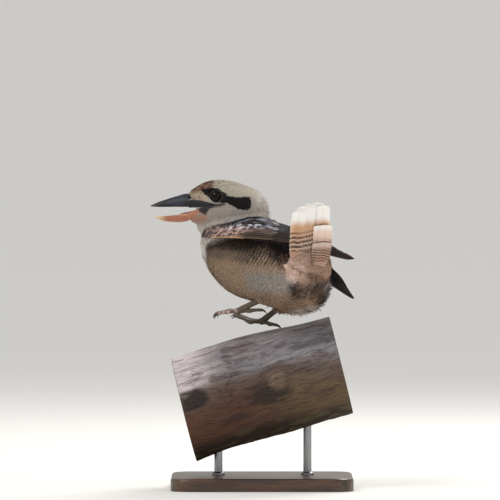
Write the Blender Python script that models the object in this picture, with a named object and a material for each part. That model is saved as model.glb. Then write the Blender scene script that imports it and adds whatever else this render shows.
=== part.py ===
"""Laughing kookaburra at life size, stepping along a cut length of branch on a plain display stand.

The bird looks along -X and its body is turned away from the viewer, who stands at -Y.
Units are metres, +Z is up, and the origin is the middle of the stand's underside.
"""

import math

import bmesh
import bpy
import numpy as np
from mathutils import Matrix, Vector

# Driving dimensions
GAP = 0.0003
CUT_GAP = 0.00036
BODY_TURN = math.radians(40)
BODY_CENTRE = np.array([0.0, 0.0, 0.2486])
HEAD_PLANE_Y = 0.021
EYE_RADIUS = 0.0088
VANE_THICKNESS = 0.00055
VANE_STEP = 0.0009
PERCH_LENGTH = 0.180
PERCH_SLOPE = math.radians(14)
PERCH_RADIUS_LOW = 0.0600
PERCH_RADIUS_HIGH = 0.0570
BASE_LENGTH = 0.200
BASE_WIDTH = 0.150
BASE_THICKNESS = 0.014
ROD_RADIUS = 0.0045

FORWARD = np.array([-math.cos(BODY_TURN), math.sin(BODY_TURN), 0.0])
LEFT = np.array([-math.sin(BODY_TURN), -math.cos(BODY_TURN), 0.0])
UP = np.array([0.0, 0.0, 1.0])

COLLECTION = "kookaburra"
CUTTERS = "cutters"


def clear_scene():
    """Removes what the startup file holds, and makes the two collections."""
    for obj in list(bpy.data.objects):
        bpy.data.objects.remove(obj, do_unlink=True)
    for name in (COLLECTION, CUTTERS):
        made = bpy.data.collections.new(name)
        bpy.context.scene.collection.children.link(made)


def material(name, colour, roughness, metallic=0.0):
    """A Principled material, made once for each name."""
    found = bpy.data.materials.get(name)
    if found:
        return found
    made = bpy.data.materials.new(name)
    made.use_nodes = True
    shader = made.node_tree.nodes["Principled BSDF"]
    shader.inputs["Base Color"].default_value = (*colour, 1.0)
    shader.inputs["Roughness"].default_value = roughness
    shader.inputs["Metallic"].default_value = metallic
    return made


def cream_feather():
    return material("cream_feather", (0.62, 0.52, 0.42), 0.85)


def brown_feather():
    return material("brown_feather", (0.10, 0.07, 0.055), 0.7)


def barred_feather():
    return material("barred_feather", (0.75, 0.60, 0.50), 0.75)


def dark_horn():
    return material("dark_horn", (0.035, 0.037, 0.045), 0.35)


def pale_horn():
    return material("pale_horn", (0.62, 0.33, 0.22), 0.4)


def leg_skin():
    return material("leg_skin", (0.22, 0.20, 0.13), 0.6)


def eye_glass():
    return material("eye_glass", (0.02, 0.012, 0.01), 0.05)


def branch_wood():
    return material("branch_wood", (0.32, 0.27, 0.25), 0.9)


def stand_wood():
    return material("stand_wood", (0.10, 0.06, 0.04), 0.45)


def stand_steel():
    return material("stand_steel", (0.45, 0.45, 0.46), 0.3, 1.0)


def mesh_object(name, points, faces, finish, collection=COLLECTION):
    """An object from points and faces, with its normals pointing out."""
    mesh = bpy.data.meshes.new(name)
    mesh.from_pydata([tuple(map(float, p)) for p in points], [], faces)
    shell = bmesh.new()
    shell.from_mesh(mesh)
    bmesh.ops.recalc_face_normals(shell, faces=shell.faces)
    shell.to_mesh(mesh)
    shell.free()
    obj = bpy.data.objects.new(name, mesh)
    bpy.data.collections[collection].objects.link(obj)
    if finish:
        mesh.materials.append(finish)
    if collection == CUTTERS:
        obj.hide_render = True
        obj.display_type = "WIRE"
    return obj


def loft(name, rings, finish, collection=COLLECTION):
    """A closed skin over rings of points, with a fan from a middle point at each end."""
    rings = np.asarray(rings, float)
    count, around = rings.shape[:2]
    points = [*rings.reshape(-1, 3), rings[0].mean(0), rings[-1].mean(0)]
    first_pole, last_pole = len(points) - 2, len(points) - 1
    faces = []
    for k in range(around):
        n = (k + 1) % around
        faces.append((first_pole, n, k))
        faces.append((last_pole, (count - 1) * around + k, (count - 1) * around + n))
        for i in range(count - 1):
            a, b = i * around, (i + 1) * around
            faces.append((a + k, a + n, b + n, b + k))
    return mesh_object(name, points, faces, finish, collection)


def through(knots, values, at):
    """A smooth curve through named values: a cubic with the slopes of its neighbours."""
    knots, values = np.asarray(knots, float), np.asarray(values, float)
    flat = values.reshape(len(knots), -1)
    slopes = np.gradient(flat, knots, axis=0)
    at = np.clip(np.asarray(at, float), knots[0], knots[-1])
    i = np.clip(np.searchsorted(knots, at, side="right") - 1, 0, len(knots) - 2)
    h = knots[i + 1] - knots[i]
    t = ((at - knots[i]) / h)[..., None]
    h = h[..., None]
    low, high = flat[i], flat[i + 1]
    made = (
        low * (2 * t**3 - 3 * t**2 + 1)
        + slopes[i] * h * (t**3 - 2 * t**2 + t)
        + high * (3 * t**2 - 2 * t**3)
        + slopes[i + 1] * h * (t**3 - t**2)
    )
    return made.reshape(*at.shape, *values.shape[1:])


def unit(v):
    v = np.asarray(v, float)
    return v / np.maximum(np.linalg.norm(v, axis=-1, keepdims=True), 1e-12)


def bird(ahead, left, above):
    """A place in the bird's own directions, counted from its body's centre."""
    ahead, left, above = (np.asarray(x, float)[..., None] for x in (ahead, left, above))
    return BODY_CENTRE + ahead * FORWARD + left * LEFT + above * UP


def applied(obj):
    """Turns an object's modifiers, or a curve, into a plain mesh with its doubles merged."""
    graph = bpy.context.evaluated_depsgraph_get()
    mesh = bpy.data.meshes.new_from_object(obj.evaluated_get(graph))
    shell = bmesh.new()
    shell.from_mesh(mesh)
    bmesh.ops.remove_doubles(shell, verts=shell.verts, dist=1e-6)
    shell.to_mesh(mesh)
    shell.free()
    if obj.type == "MESH":
        obj.modifiers.clear()
        obj.data = mesh
        return obj
    name, where = obj.name, obj.matrix_world.copy()
    home = obj.users_collection[0]
    bpy.data.objects.remove(obj, do_unlink=True)
    made = bpy.data.objects.new(name, mesh)
    made.matrix_world = where
    home.objects.link(made)
    return made


def keep_largest(obj):
    """Keeps a mesh's largest closed surface, and drops sealed hollows and loose scraps."""
    shell = bmesh.new()
    shell.from_mesh(obj.data)
    left = set(shell.faces)
    groups = []
    while left:
        stack, group = [left.pop()], []
        while stack:
            face = stack.pop()
            group.append(face)
            for edge in face.edges:
                for other in edge.link_faces:
                    if other in left:
                        left.discard(other)
                        stack.append(other)
        groups.append(group)
    groups.sort(key=lambda g: sum(f.calc_area() for f in g))
    for group in groups[:-1]:
        bmesh.ops.delete(shell, geom=group, context="FACES")
    shell.to_mesh(obj.data)
    shell.free()
    return obj


def grown(obj, by=CUT_GAP):
    """A cutter: a copy of a piece, grown outwards by the gap that touching pieces keep."""
    mesh = obj.data.copy()
    shell = bmesh.new()
    shell.from_mesh(mesh)
    shell.normal_update()
    moves = [(v, v.normal * by * min(v.calc_shell_factor(), 2.0)) for v in shell.verts]
    for v, move in moves:
        v.co += move
    shell.to_mesh(mesh)
    shell.free()
    made = bpy.data.objects.new(obj.name + "_cutter", mesh)
    made.matrix_world = obj.matrix_world.copy()
    bpy.data.collections[CUTTERS].objects.link(made)
    made.hide_render = True
    made.display_type = "WIRE"
    return made


def boolean(obj, other, operation, solver="EXACT"):
    """Joins, cuts or crosses an object with another, and makes the result plain."""
    modifier = obj.modifiers.new(operation.lower(), "BOOLEAN")
    modifier.operation = operation
    modifier.solver = solver
    modifier.object = other
    bpy.context.view_layer.update()
    applied(obj)
    return keep_largest(obj)


def cut_clear(obj, *others, solver="EXACT"):
    """Cuts an object back from each other one, leaving the gap between them."""
    for other in others:
        cutter = grown(other)
        boolean(obj, cutter, "DIFFERENCE", solver)
        bpy.data.objects.remove(cutter, do_unlink=True)
    return obj


def fused(obj, pieces, solver="EXACT"):
    """Joins closed pieces to an object by one union, and removes them."""
    bundle = bpy.data.collections.new(obj.name + "_pieces")
    bpy.context.scene.collection.children.link(bundle)
    for piece in pieces:
        for home in list(piece.users_collection):
            home.objects.unlink(piece)
        bundle.objects.link(piece)
    modifier = obj.modifiers.new("union", "BOOLEAN")
    modifier.operation = "UNION"
    modifier.solver = solver
    modifier.operand_type = "COLLECTION"
    modifier.collection = bundle
    bpy.context.view_layer.update()
    applied(obj)
    for piece in pieces:
        bpy.data.objects.remove(piece, do_unlink=True)
    bpy.data.collections.remove(bundle)
    return keep_largest(obj)


# Torso and neck: one loft along a bent path, parted at the neck's base.
# Each station: path place ahead and above, half width, height to the back, depth to the belly.
BODY_STATIONS = {
    "rump_end": (-0.0840, -0.0250, 0.0030, 0.0030, 0.0040),
    "vent": (-0.0815, -0.0245, 0.0130, 0.0110, 0.0150),
    "rump": (-0.0730, -0.0225, 0.0265, 0.0205, 0.0290),
    "hip": (-0.0560, -0.0170, 0.0365, 0.0285, 0.0390),
    "flank": (-0.0350, -0.0100, 0.0420, 0.0365, 0.0420),
    "middle": (-0.0080, -0.0010, 0.0440, 0.0400, 0.0450),
    "breast": (0.0180, 0.0100, 0.0425, 0.0420, 0.0490),
    "shoulder": (0.0360, 0.0250, 0.0385, 0.0410, 0.0455),
    "neck_base": (0.0445, 0.0440, 0.0335, 0.0390, 0.0375),
}
BODY_RINGS = 22
BODY_AROUND = 26
WING_RECESS = 0.07
NECK_FROM_RING = 19


def body_rings():
    """Rings of the torso and neck, each square to the bent path through the stations."""
    table = np.array(list(BODY_STATIONS.values()))
    steps = np.linalg.norm(np.diff(table[:, :2], axis=0), axis=1)
    along = np.concatenate([[0.0], np.cumsum(steps)])
    t = np.linspace(0.0, 1.0, BODY_RINGS)
    at = along[-1] * t**1.35
    rows = through(along, table, at)
    middle = bird(rows[:, 0], 0.0, rows[:, 1])
    tangent = unit(np.gradient(middle, axis=0))
    dorsal = unit(np.cross(np.broadcast_to(LEFT, tangent.shape), tangent))
    dorsal *= np.sign(dorsal @ UP + 1e-3 - (dorsal @ FORWARD))[:, None]
    angle = np.linspace(0.0, 2 * math.pi, BODY_AROUND, endpoint=False)
    wide = np.cos(angle)
    tall = np.sin(angle)
    recess = 1 - WING_RECESS * np.where(tall > 0, np.sin(2 * angle) ** 2, 0.0)
    wide, tall = wide * recess, tall * recess
    reach = np.where(tall > 0, rows[:, 3:4] * tall, rows[:, 4:5] * tall)
    return (
        middle[:, None]
        + (rows[:, 2:3] * wide)[..., None] * LEFT
        + reach[..., None] * dorsal[:, None]
    )


# Rings of the neck: middle along X and Y, height, reach along X and along Y, rise to the back.
NECK_RINGS = {
    "throat": (-0.0305, 0.0200, 0.2890, 0.0368, 0.0300, 0.34),
    "nape": (-0.0270, 0.0210, 0.3110, 0.0308, 0.0240, 0.18),
}
NECK_STEPS = 7


def make_torso_and_neck():
    """The torso and the neck, which meet face to face at the neck's base."""
    rings = body_rings()
    torso = loft("torso", rings[: NECK_FROM_RING + 1], cream_feather())
    start = rings[NECK_FROM_RING]
    lift = unit(rings[NECK_FROM_RING].mean(0) - rings[NECK_FROM_RING - 1].mean(0))
    angle = np.linspace(0.0, 2 * math.pi, BODY_AROUND, endpoint=False)
    way = np.cos(angle)[:, None] * LEFT - np.sin(angle)[:, None] * FORWARD
    keys = [start + lift * GAP]
    for x, y, z, reach_x, reach_y, rise in NECK_RINGS.values():
        reach = 1 / np.sqrt((way[:, 0] / reach_x) ** 2 + (way[:, 1] / reach_y) ** 2)
        ring = np.array([x, y, z]) + reach[:, None] * way
        ring[:, 2] += rise * (ring[:, 0] - x)
        keys.append(ring)
    t = np.linspace(0.0, 1.0, NECK_STEPS)
    neck = loft("neck", through([0.0, 0.55, 1.0], np.array(keys), t), cream_feather())
    cut_clear(neck, torso)
    return torso, neck


# Head: a loft along X from the bill's base to the nape.
# Each station: place along X, crown height, lower edge, half width, height of the widest level.
HEAD_STATIONS = {
    "bill_base": (-0.0830, 0.3212, 0.3010, 0.0085, 0.3120),
    "forehead": (-0.0800, 0.3250, 0.2955, 0.0122, 0.3105),
    "lores": (-0.0720, 0.3312, 0.2905, 0.0172, 0.3085),
    "brow": (-0.0600, 0.3370, 0.2865, 0.0224, 0.3080),
    "eye": (-0.0480, 0.3388, 0.2835, 0.0266, 0.3080),
    "crown": (-0.0330, 0.3372, 0.2830, 0.0290, 0.3080),
    "ear": (-0.0190, 0.3326, 0.2860, 0.0278, 0.3080),
    "hindcrown": (-0.0090, 0.3288, 0.2930, 0.0236, 0.3095),
    "nape": (-0.0035, 0.3262, 0.2990, 0.0180, 0.3115),
    "occiput": (-0.0005, 0.3225, 0.3060, 0.0105, 0.3130),
    "end": (0.0010, 0.3175, 0.3110, 0.0035, 0.3140),
}
HEAD_RINGS = 19
HEAD_AROUND = 24
HEAD_SQUARENESS = 2.25


def head_rings():
    """Rings of the head, flatter at the crown and fuller at the cheek than an ellipse."""
    table = np.array(list(HEAD_STATIONS.values()))
    t = np.linspace(0.0, 1.0, HEAD_RINGS)
    at = table[0, 0] + (table[-1, 0] - table[0, 0]) * (t - 0.08 * np.sin(2 * math.pi * t))
    rows = through(table[:, 0], table, at)
    angle = np.linspace(0.0, 2 * math.pi, HEAD_AROUND, endpoint=False)
    power = 2.0 / HEAD_SQUARENESS
    wide = np.sign(np.cos(angle)) * np.abs(np.cos(angle)) ** power
    tall = np.sign(np.sin(angle)) * np.abs(np.sin(angle)) ** power
    level, crown, low = rows[:, 4:5], rows[:, 1:2], rows[:, 2:3]
    z = np.where(tall > 0, level + (crown - level) * tall, level + (level - low) * tall)
    y = HEAD_PLANE_Y + rows[:, 3:4] * wide
    x = np.broadcast_to(rows[:, 0:1], z.shape)
    return np.stack([x, y, z], axis=-1)


# Upper mandible stations: place along X, culmen height, cutting edge height, half width.
UPPER_BILL_STATIONS = {
    "tip": (-0.1231, 0.3104, 0.3094, 0.0006),
    "hook": (-0.1170, 0.3133, 0.3085, 0.0030),
    "front": (-0.1060, 0.3172, 0.3078, 0.0058),
    "middle": (-0.0940, 0.3210, 0.3075, 0.0085),
    "nostril": (-0.0820, 0.3238, 0.3074, 0.0118),
    "root": (-0.0720, 0.3215, 0.3078, 0.0158),
    "cheek": (-0.0640, 0.3160, 0.3088, 0.0176),
    "gape": (-0.0580, 0.3128, 0.3102, 0.0150),
}
# Lower mandible stations: place along X, cutting edge height, keel height, half width.
LOWER_BILL_STATIONS = {
    "tip": (-0.1191, 0.2984, 0.2974, 0.0006),
    "front": (-0.1110, 0.2993, 0.2942, 0.0034),
    "middle": (-0.0990, 0.3008, 0.2923, 0.0066),
    "chin": (-0.0860, 0.3028, 0.2924, 0.0098),
    "root": (-0.0760, 0.3046, 0.2955, 0.0134),
    "cheek": (-0.0665, 0.3064, 0.2998, 0.0186),
    "gape": (-0.0600, 0.3072, 0.3030, 0.0165),
}
BILL_RINGS = 13
BILL_AROUND = 14
NOSTRIL_AT = (-0.0775, 0.0112, 0.3170)
NOSTRIL_SIZE = (0.0030, 0.0018, 0.0010)


def bill_rings(stations, upper):
    """Rings of one mandible: a rounded ridge on one side, a shallow face on the other."""
    table = np.array(list(stations.values()))
    t = np.linspace(0.0, 1.0, BILL_RINGS)
    at = table[0, 0] + (table[-1, 0] - table[0, 0]) * t**1.15
    rows = through(table[:, 0], table, at)
    angle = np.linspace(0.0, 2 * math.pi, BILL_AROUND, endpoint=False)
    wide, tall = np.cos(angle), np.sin(angle)
    top, low, half = rows[:, 1:2], rows[:, 2:3], rows[:, 3:4]
    depth = top - low
    edge_share = 0.22 if upper else 0.80
    level = low + depth * edge_share
    rise = np.where(tall > 0, (top - level) * tall, (level - low) * tall)
    y = HEAD_PLANE_Y + half * np.sign(wide) * np.abs(wide) ** 0.85
    x = np.broadcast_to(rows[:, 0:1], y.shape)
    return np.stack([x, y, level + rise], axis=-1)


def ellipsoid(name, centre, radii, turn=(0.0, 0.0, 0.0), segments=16, finish=None, collection=CUTTERS):
    """A stretched sphere, placed and turned, with its scale applied."""
    mesh = bpy.data.meshes.new(name)
    shell = bmesh.new()
    bmesh.ops.create_uvsphere(shell, u_segments=segments, v_segments=segments // 2, radius=1.0)
    stretch = Matrix.Diagonal((*radii, 1.0))
    spin = Matrix.Rotation(turn[2], 4, "Z") @ Matrix.Rotation(turn[1], 4, "Y")
    spin = spin @ Matrix.Rotation(turn[0], 4, "X")
    place = Matrix.Translation(Vector(centre)) @ spin
    bmesh.ops.transform(shell, matrix=place @ stretch, verts=shell.verts)
    shell.to_mesh(mesh)
    shell.free()
    obj = bpy.data.objects.new(name, mesh)
    bpy.data.collections[collection].objects.link(obj)
    if finish:
        mesh.materials.append(finish)
    if collection == CUTTERS:
        obj.hide_render = True
        obj.display_type = "WIRE"
    return obj


def ring_torus(name, centre, axis, radius, tube, stretch=1.0):
    """A lid: a closed ring about an axis, a little wider than it is tall."""
    around, across = 18, 6
    a = np.linspace(0, 2 * math.pi, around, endpoint=False)
    b = np.linspace(0, 2 * math.pi, across, endpoint=False)
    axis = unit(axis)
    side = unit(np.cross(UP, axis))
    top = np.cross(axis, side)
    out = np.cos(a)[:, None] * side * stretch + np.sin(a)[:, None] * top
    centre_line = np.asarray(centre) + radius * out
    points = (
        centre_line[:, None]
        + tube * np.cos(b)[None, :, None] * out[:, None]
        + tube * np.sin(b)[None, :, None] * axis
    ).reshape(-1, 3)
    faces = []
    for i in range(around):
        for j in range(across):
            n, m = (i + 1) % around, (j + 1) % across
            faces.append((i * across + j, n * across + j, n * across + m, i * across + m))
    return mesh_object(name, points, faces, None, CUTTERS)


EYE_AT = (-0.0503, 0.0174, 0.3207)
LID_RADIUS = 0.0065
LID_TUBE = 0.0012
LID_OUT = 0.0240


def make_head():
    """The skull and cheeks, the two mandibles, the tongue, and the eyes in their sockets."""
    head = loft("head", head_rings(), cream_feather())
    upper = loft("bill_upper", bill_rings(UPPER_BILL_STATIONS, True), dark_horn())
    lower = loft("bill_lower", bill_rings(LOWER_BILL_STATIONS, False), pale_horn())
    eyes = {}
    for side, sign in (("left", -1), ("right", 1)):
        y = HEAD_PLANE_Y + sign * EYE_AT[1]
        centre = (EYE_AT[0], y, EYE_AT[2])
        name = f"eye_{side}"
        eyes[side] = ellipsoid(
            name, centre, (EYE_RADIUS,) * 3, segments=18, finish=eye_glass(), collection=COLLECTION
        )
        rim = (EYE_AT[0], HEAD_PLANE_Y + sign * LID_OUT, EYE_AT[2])
        lid = ring_torus(f"lid_{side}", rim, (-0.20, sign, 0.12), LID_RADIUS, LID_TUBE, 1.06)
        fused(head, [lid])
        nostril = ellipsoid(
            f"nostril_{side}",
            (NOSTRIL_AT[0], HEAD_PLANE_Y + sign * NOSTRIL_AT[1], NOSTRIL_AT[2]),
            NOSTRIL_SIZE,
            turn=(0.0, math.radians(25), -sign * math.radians(12)),
            segments=10,
        )
        boolean(upper, nostril, "DIFFERENCE")
        bpy.data.objects.remove(nostril, do_unlink=True)
    mouth = mouth_wedge()
    boolean(head, mouth, "DIFFERENCE")
    bpy.data.objects.remove(mouth, do_unlink=True)
    cut_clear(lower, upper)
    cut_clear(head, upper, lower, eyes["left"], eyes["right"])
    tongue = make_tongue()
    cut_clear(tongue, lower)
    return head


MOUTH_CORNER = (-0.0640, 0.3080)
GAPE = (-0.0418, 0.3124)
MOUTH_LINE = 0.0007


def mouth_wedge():
    """The open mouth in front of its corner, and the thin line of the mouth behind it."""
    front_x = -0.0900
    reach = 0.03
    x, z = MOUTH_CORNER
    profile = [
        (front_x, 0.3000),
        (x, z - MOUTH_LINE / 2),
        GAPE,
        (x, z + MOUTH_LINE / 2),
        (front_x, 0.3100),
    ]
    points = [(x, HEAD_PLANE_Y + side * reach, z) for side in (-1, 1) for x, z in profile]
    faces = [(0, 1, 3, 4), (1, 2, 3), (5, 9, 8, 6), (6, 8, 7)]
    faces += [(k, k + 5, (k + 1) % 5 + 5, (k + 1) % 5) for k in range(5)]
    return mesh_object("mouth_wedge", points, faces, None, CUTTERS)


def make_tongue():
    """A short flat tongue on the floor of the lower mandible."""
    t = np.linspace(0.0, 1.0, 6)
    x = -0.0905 + 0.016 * t
    half = 0.0010 + 0.0026 * np.sqrt(t)
    z = 0.3033 + 0.0029 * t
    angle = np.linspace(0.0, 2 * math.pi, 8, endpoint=False)
    y = HEAD_PLANE_Y + half[:, None] * np.cos(angle)
    high = z[:, None] + 0.0008 * np.sin(angle)
    rings = np.stack([np.broadcast_to(x[:, None], y.shape), y, high], axis=-1)
    return loft("tongue", rings, pale_horn())


# Wings: knots along the body, from the wrist back to the tip: ahead, to the side, above.
WING_LOWER = {
    "left": (
        (0.0520, 0.0412, 0.0252),
        (0.0250, 0.0465, 0.0268),
        (-0.0125, 0.0460, 0.0252),
        (-0.0450, 0.0362, 0.0215),
        (-0.0740, 0.0235, 0.0160),
        (-0.1060, 0.0030, 0.0085),
        (-0.1275, -0.0030, 0.0048),
    ),
    "right": (
        (0.0520, 0.0410, 0.0220),
        (0.0260, 0.0475, 0.0100),
        (-0.0120, 0.0508, -0.0040),
        (-0.0450, 0.0460, -0.0205),
        (-0.0720, 0.0385, -0.0318),
        (-0.0965, 0.0305, -0.0378),
        (-0.1150, 0.0225, -0.0385),
    ),
}
WING_UPPER = {
    "left": (
        (0.0520, 0.0370, 0.0360),
        (0.0250, 0.0350, 0.0400),
        (-0.0125, 0.0140, 0.0455),
        (-0.0450, 0.0050, 0.0370),
        (-0.0740, 0.0020, 0.0270),
        (-0.1060, -0.0030, 0.0145),
        (-0.1275, -0.0045, 0.0068),
    ),
    "right": (
        (0.0520, 0.0370, 0.0350),
        (0.0260, 0.0360, 0.0370),
        (-0.0120, 0.0205, 0.0372),
        (-0.0450, 0.0262, 0.0185),
        (-0.0720, 0.0250, 0.0000),
        (-0.0965, 0.0240, -0.0210),
        (-0.1150, 0.0215, -0.0370),
    ),
}
WING_KNOTS = (0.0, 0.15, 0.36, 0.54, 0.70, 0.88, 1.0)
WING_CURVE_RADIUS = 0.055
WING_CORE_END = 0.60
# How thick the wing's core is, at shares of the wing's length.
WING_CORE = ((0.0, 0.12, 0.30, 0.48, 0.60), (0.0030, 0.0068, 0.0060, 0.0036, 0.0012))


def wing_sheet(side, back, rise):
    """A place on the folded wing: back runs 0 to 1 from wrist to tip, rise from low to high edge."""
    back, rise = np.broadcast_arrays(np.asarray(back, float), np.asarray(rise, float))
    low = through(WING_KNOTS, np.array(WING_LOWER[side]), back)
    high = through(WING_KNOTS, np.array(WING_UPPER[side]), back)
    place = low * (1 - rise[..., None]) + high * rise[..., None]
    height = np.linalg.norm(high - low, axis=-1)
    swell = height**2 / (8 * WING_CURVE_RADIUS) * 4 * rise * (1 - rise)
    across = unit(high - low)
    outward = unit(np.cross([1.0, 0.0, 0.0], across))
    outward *= np.sign(outward[..., 1:2])
    place = place + swell[..., None] * outward
    sign = 1.0 if side == "left" else -1.0
    return bird(place[..., 0], sign * place[..., 1], place[..., 2])


def wing_frame(side, back, rise):
    """Directions at a place on the wing: from low edge to high, and out of the sheet."""
    step = 0.004
    back, rise = np.broadcast_arrays(np.asarray(back, float), np.asarray(rise, float))
    along = wing_sheet(side, back + step, rise) - wing_sheet(side, back - step, rise)
    across = wing_sheet(side, back, rise + step) - wing_sheet(side, back, rise - step)
    out = unit(np.cross(across, along)) * (-1.0 if side == "left" else 1.0)
    return unit(across), out


def wing_height(side, back):
    """How far it is from the wing's low edge to its high edge."""
    return np.linalg.norm(wing_sheet(side, back, 1.0) - wing_sheet(side, back, 0.0), axis=-1)


def wing_core(side, finish, end=WING_CORE_END):
    """The arm and its covering: a smooth pad from the wrist back to where only vanes go on."""
    rows, around = 13, 12
    back = 0.006 + (end - 0.006) * np.linspace(0, 1, rows)
    angle = np.linspace(0.0, 2 * math.pi, around, endpoint=False)
    front = np.sqrt(np.clip(1 - (1 - np.clip(back / 0.10, 0, 1)) ** 2, 0.02, 1))
    half = 0.5 * (0.35 + 0.65 * front)
    rise = 0.5 + half[:, None] * np.cos(angle)
    thick = through(WING_CORE[0], WING_CORE[1], back)
    lift = 0.5 * thick[:, None] * np.sin(angle)
    base = wing_sheet(side, back[:, None], rise)
    out = wing_frame(side, back[:, None], rise)[1]
    return loft(f"wing_{side}", base + lift[..., None] * out, finish)


VANE_SHARES = (0.0, 0.25, 0.5, 0.75, 0.92, 1.0)
VANE_WIDTHS = (0.60, 0.90, 1.0, 1.0, 0.80, 0.28)


def vane(name, low, high, out, thickness=VANE_THICKNESS):
    """A thin closed ribbon between two edge lines, split into triangles alike on both faces."""
    low, high, out = (np.asarray(v, float) for v in (low, high, out))
    thin = np.full(len(low), thickness / 2)
    thin[-1] *= 0.7
    lift = thin[:, None] * out
    points = np.concatenate([low + lift, high + lift, high - lift, low - lift])
    n = len(low)
    faces = []
    for i in range(n - 1):
        a, b, c, d = i, n + i, 2 * n + i, 3 * n + i
        faces += [(a, a + 1, b + 1), (a, b + 1, b)]
        faces += [(d, c + 1, d + 1), (d, c, c + 1)]
        faces += [(b, b + 1, c + 1), (b, c + 1, c)]
        faces += [(a, d + 1, a + 1), (a, d, d + 1)]
    last = n - 1
    faces += [(0, n, 2 * n), (0, 2 * n, 3 * n)]
    faces += [(last, 2 * n + last, n + last), (last, 3 * n + last, 2 * n + last)]
    return mesh_object(name, points, faces, None, CUTTERS)


# Tiers of wing feathers: how many, then for the lowest and the highest feather where its root and
# its tip are, back and rise; half width; height over the sheet at root and tip; height step.
WING_TIERS = {
    "primary": {
        "count": 5,
        "lowest": ((0.50, 0.14), (1.000, 0.45)),
        "highest": ((0.46, 0.48), (0.865, 0.80)),
        "half_width": (0.0044, 0.0044),
        "lift": (-0.0004, 0.0),
        "step": VANE_STEP,
        "shingled": 0.0,
    },
    "secondary": {
        "count": 7,
        "lowest": ((0.36, 0.10), (0.810, 0.20)),
        "highest": ((0.30, 0.92), (0.640, 0.90)),
        "half_width": (0.0050, 0.0052),
        "lift": (0.0002, 0.0042),
        "step": 0.0,
        "shingled": 1.0,
    },
    "covert": {
        "count": 6,
        "lowest": ((0.14, 0.09), (0.470, 0.09)),
        "highest": ((0.16, 0.70), (0.400, 0.72)),
        "half_width": (0.0048, 0.0048),
        "lift": (0.0012, 0.0046),
        "step": 0.0,
        "shingled": 1.0,
    },
    "scapular": {
        "count": 4,
        "lowest": ((0.12, 0.62), (0.500, 0.64)),
        "highest": ((0.10, 0.91), (0.400, 0.93)),
        "half_width": (0.0050, 0.0050),
        "lift": (0.0014, 0.0058),
        "step": 0.0,
        "shingled": 1.0,
    },
}


def wing_tier(side, tier_name):
    """One tier of overlapping vanes: each one's low edge lies over the next lower one."""
    tier = WING_TIERS[tier_name]
    count = tier["count"]
    made = []
    for i in range(count):
        share = i / (count - 1)
        ends = np.array(tier["lowest"]) * (1 - share) + np.array(tier["highest"]) * share
        half = tier["half_width"][0] * (1 - share) + tier["half_width"][1] * share
        s = np.array(VANE_SHARES)
        back = ends[0, 0] + (ends[1, 0] - ends[0, 0]) * s
        rise = ends[0, 1] + (ends[1, 1] - ends[0, 1]) * s
        across, out = wing_frame(side, back, rise)
        spread = abs(np.array(tier["highest"])[:, 1] - np.array(tier["lowest"])[:, 1])
        pitch = wing_height(side, back) * (spread[0] * (1 - s) + spread[1] * s) / (count - 1)
        tilt = np.clip(1.15 * VANE_STEP / pitch, 0.0, 0.40) * tier["shingled"] * np.clip(3 * s, 0, 1)
        grow = 1 - (1 - s) ** 2
        lift = tier["lift"][0] * (1 - grow) + tier["lift"][1] * grow
        lift = lift + (i - (count - 1) / 2) * tier["step"] * np.clip(2.5 * s, 0.25, 1)
        middle = wing_sheet(side, back, rise) + lift[:, None] * out
        wide = (half * np.array(VANE_WIDTHS))[:, None]
        lean = tilt[:, None] * wide * out
        low = middle - across * wide + lean
        high = middle + across * wide - lean
        normal = unit(out + tilt[:, None] * across)
        made.append(vane(f"{tier_name}_{i + 1}", low, high, normal))
    return made


def make_wing(side):
    """A folded wing: its core with primaries, secondaries, coverts and scapulars over it."""
    core = wing_core(side, brown_feather())
    pieces = [piece for name in WING_TIERS for piece in wing_tier(side, name)]
    return fused(core, pieces)


# Tail: rectrices from the root, raised and swung to the left.
TAIL_ROOT = np.array([0.0510, -0.0500, 0.2370])
TAIL_DIRECTION = unit([0.030, -0.78, 0.62])
# Lengths of the tail feathers from the outermost inwards, on the left and on the right.
RECTRICES = {
    "left": (0.113, 0.117, 0.119, 0.121, 0.122, 0.122),
    "right": (0.090, 0.094, 0.098, 0.1195, 0.122, 0.122),
}
# How far each one's root is from the tail's middle: the right side's outer three are half grown.
RECTRIX_HOMES = {
    "left": (0.0160, 0.0131, 0.0102, 0.0073, 0.0044, 0.0015),
    "right": (0.0158, 0.0122, 0.0086, 0.0162, 0.0100, 0.0036),
}
RECTRIX_HALF_WIDTH = 0.0075
RECTRIX_STEP = 0.00085
# Each feather's layer, from the outermost inwards: outer ones lie lowest, towards the viewer.
RECTRIX_LAYERS = {"left": (0, 1, 2, 3, 4, 6), "right": (0, 1, 2, 3, 5, 7)}
# Covering feathers round the tail's root: place along it, half width, below and above it.
COVERT_STATIONS = {
    "inside": (-0.0160, 0.0170, 0.0150, 0.0080),
    "vent": (-0.0040, 0.0245, 0.0150, 0.0090),
    "under": (0.0120, 0.0262, 0.0120, 0.0075),
    "middle": (0.0280, 0.0240, 0.0085, 0.0055),
    "edge": (0.0420, 0.0205, 0.0052, 0.0040),
    "tip": (0.0480, 0.0150, 0.0034, 0.0022),
}


def tail_frame():
    """Directions along the tail, across it to the bird's right, and out of its underside."""
    along = TAIL_DIRECTION
    across = unit(np.array([1.0, 0.0, 0.0]) - along * along[0])
    under = unit(np.cross(across, along))
    if under[1] > 0:
        under = -under
    return along, across, under


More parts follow.
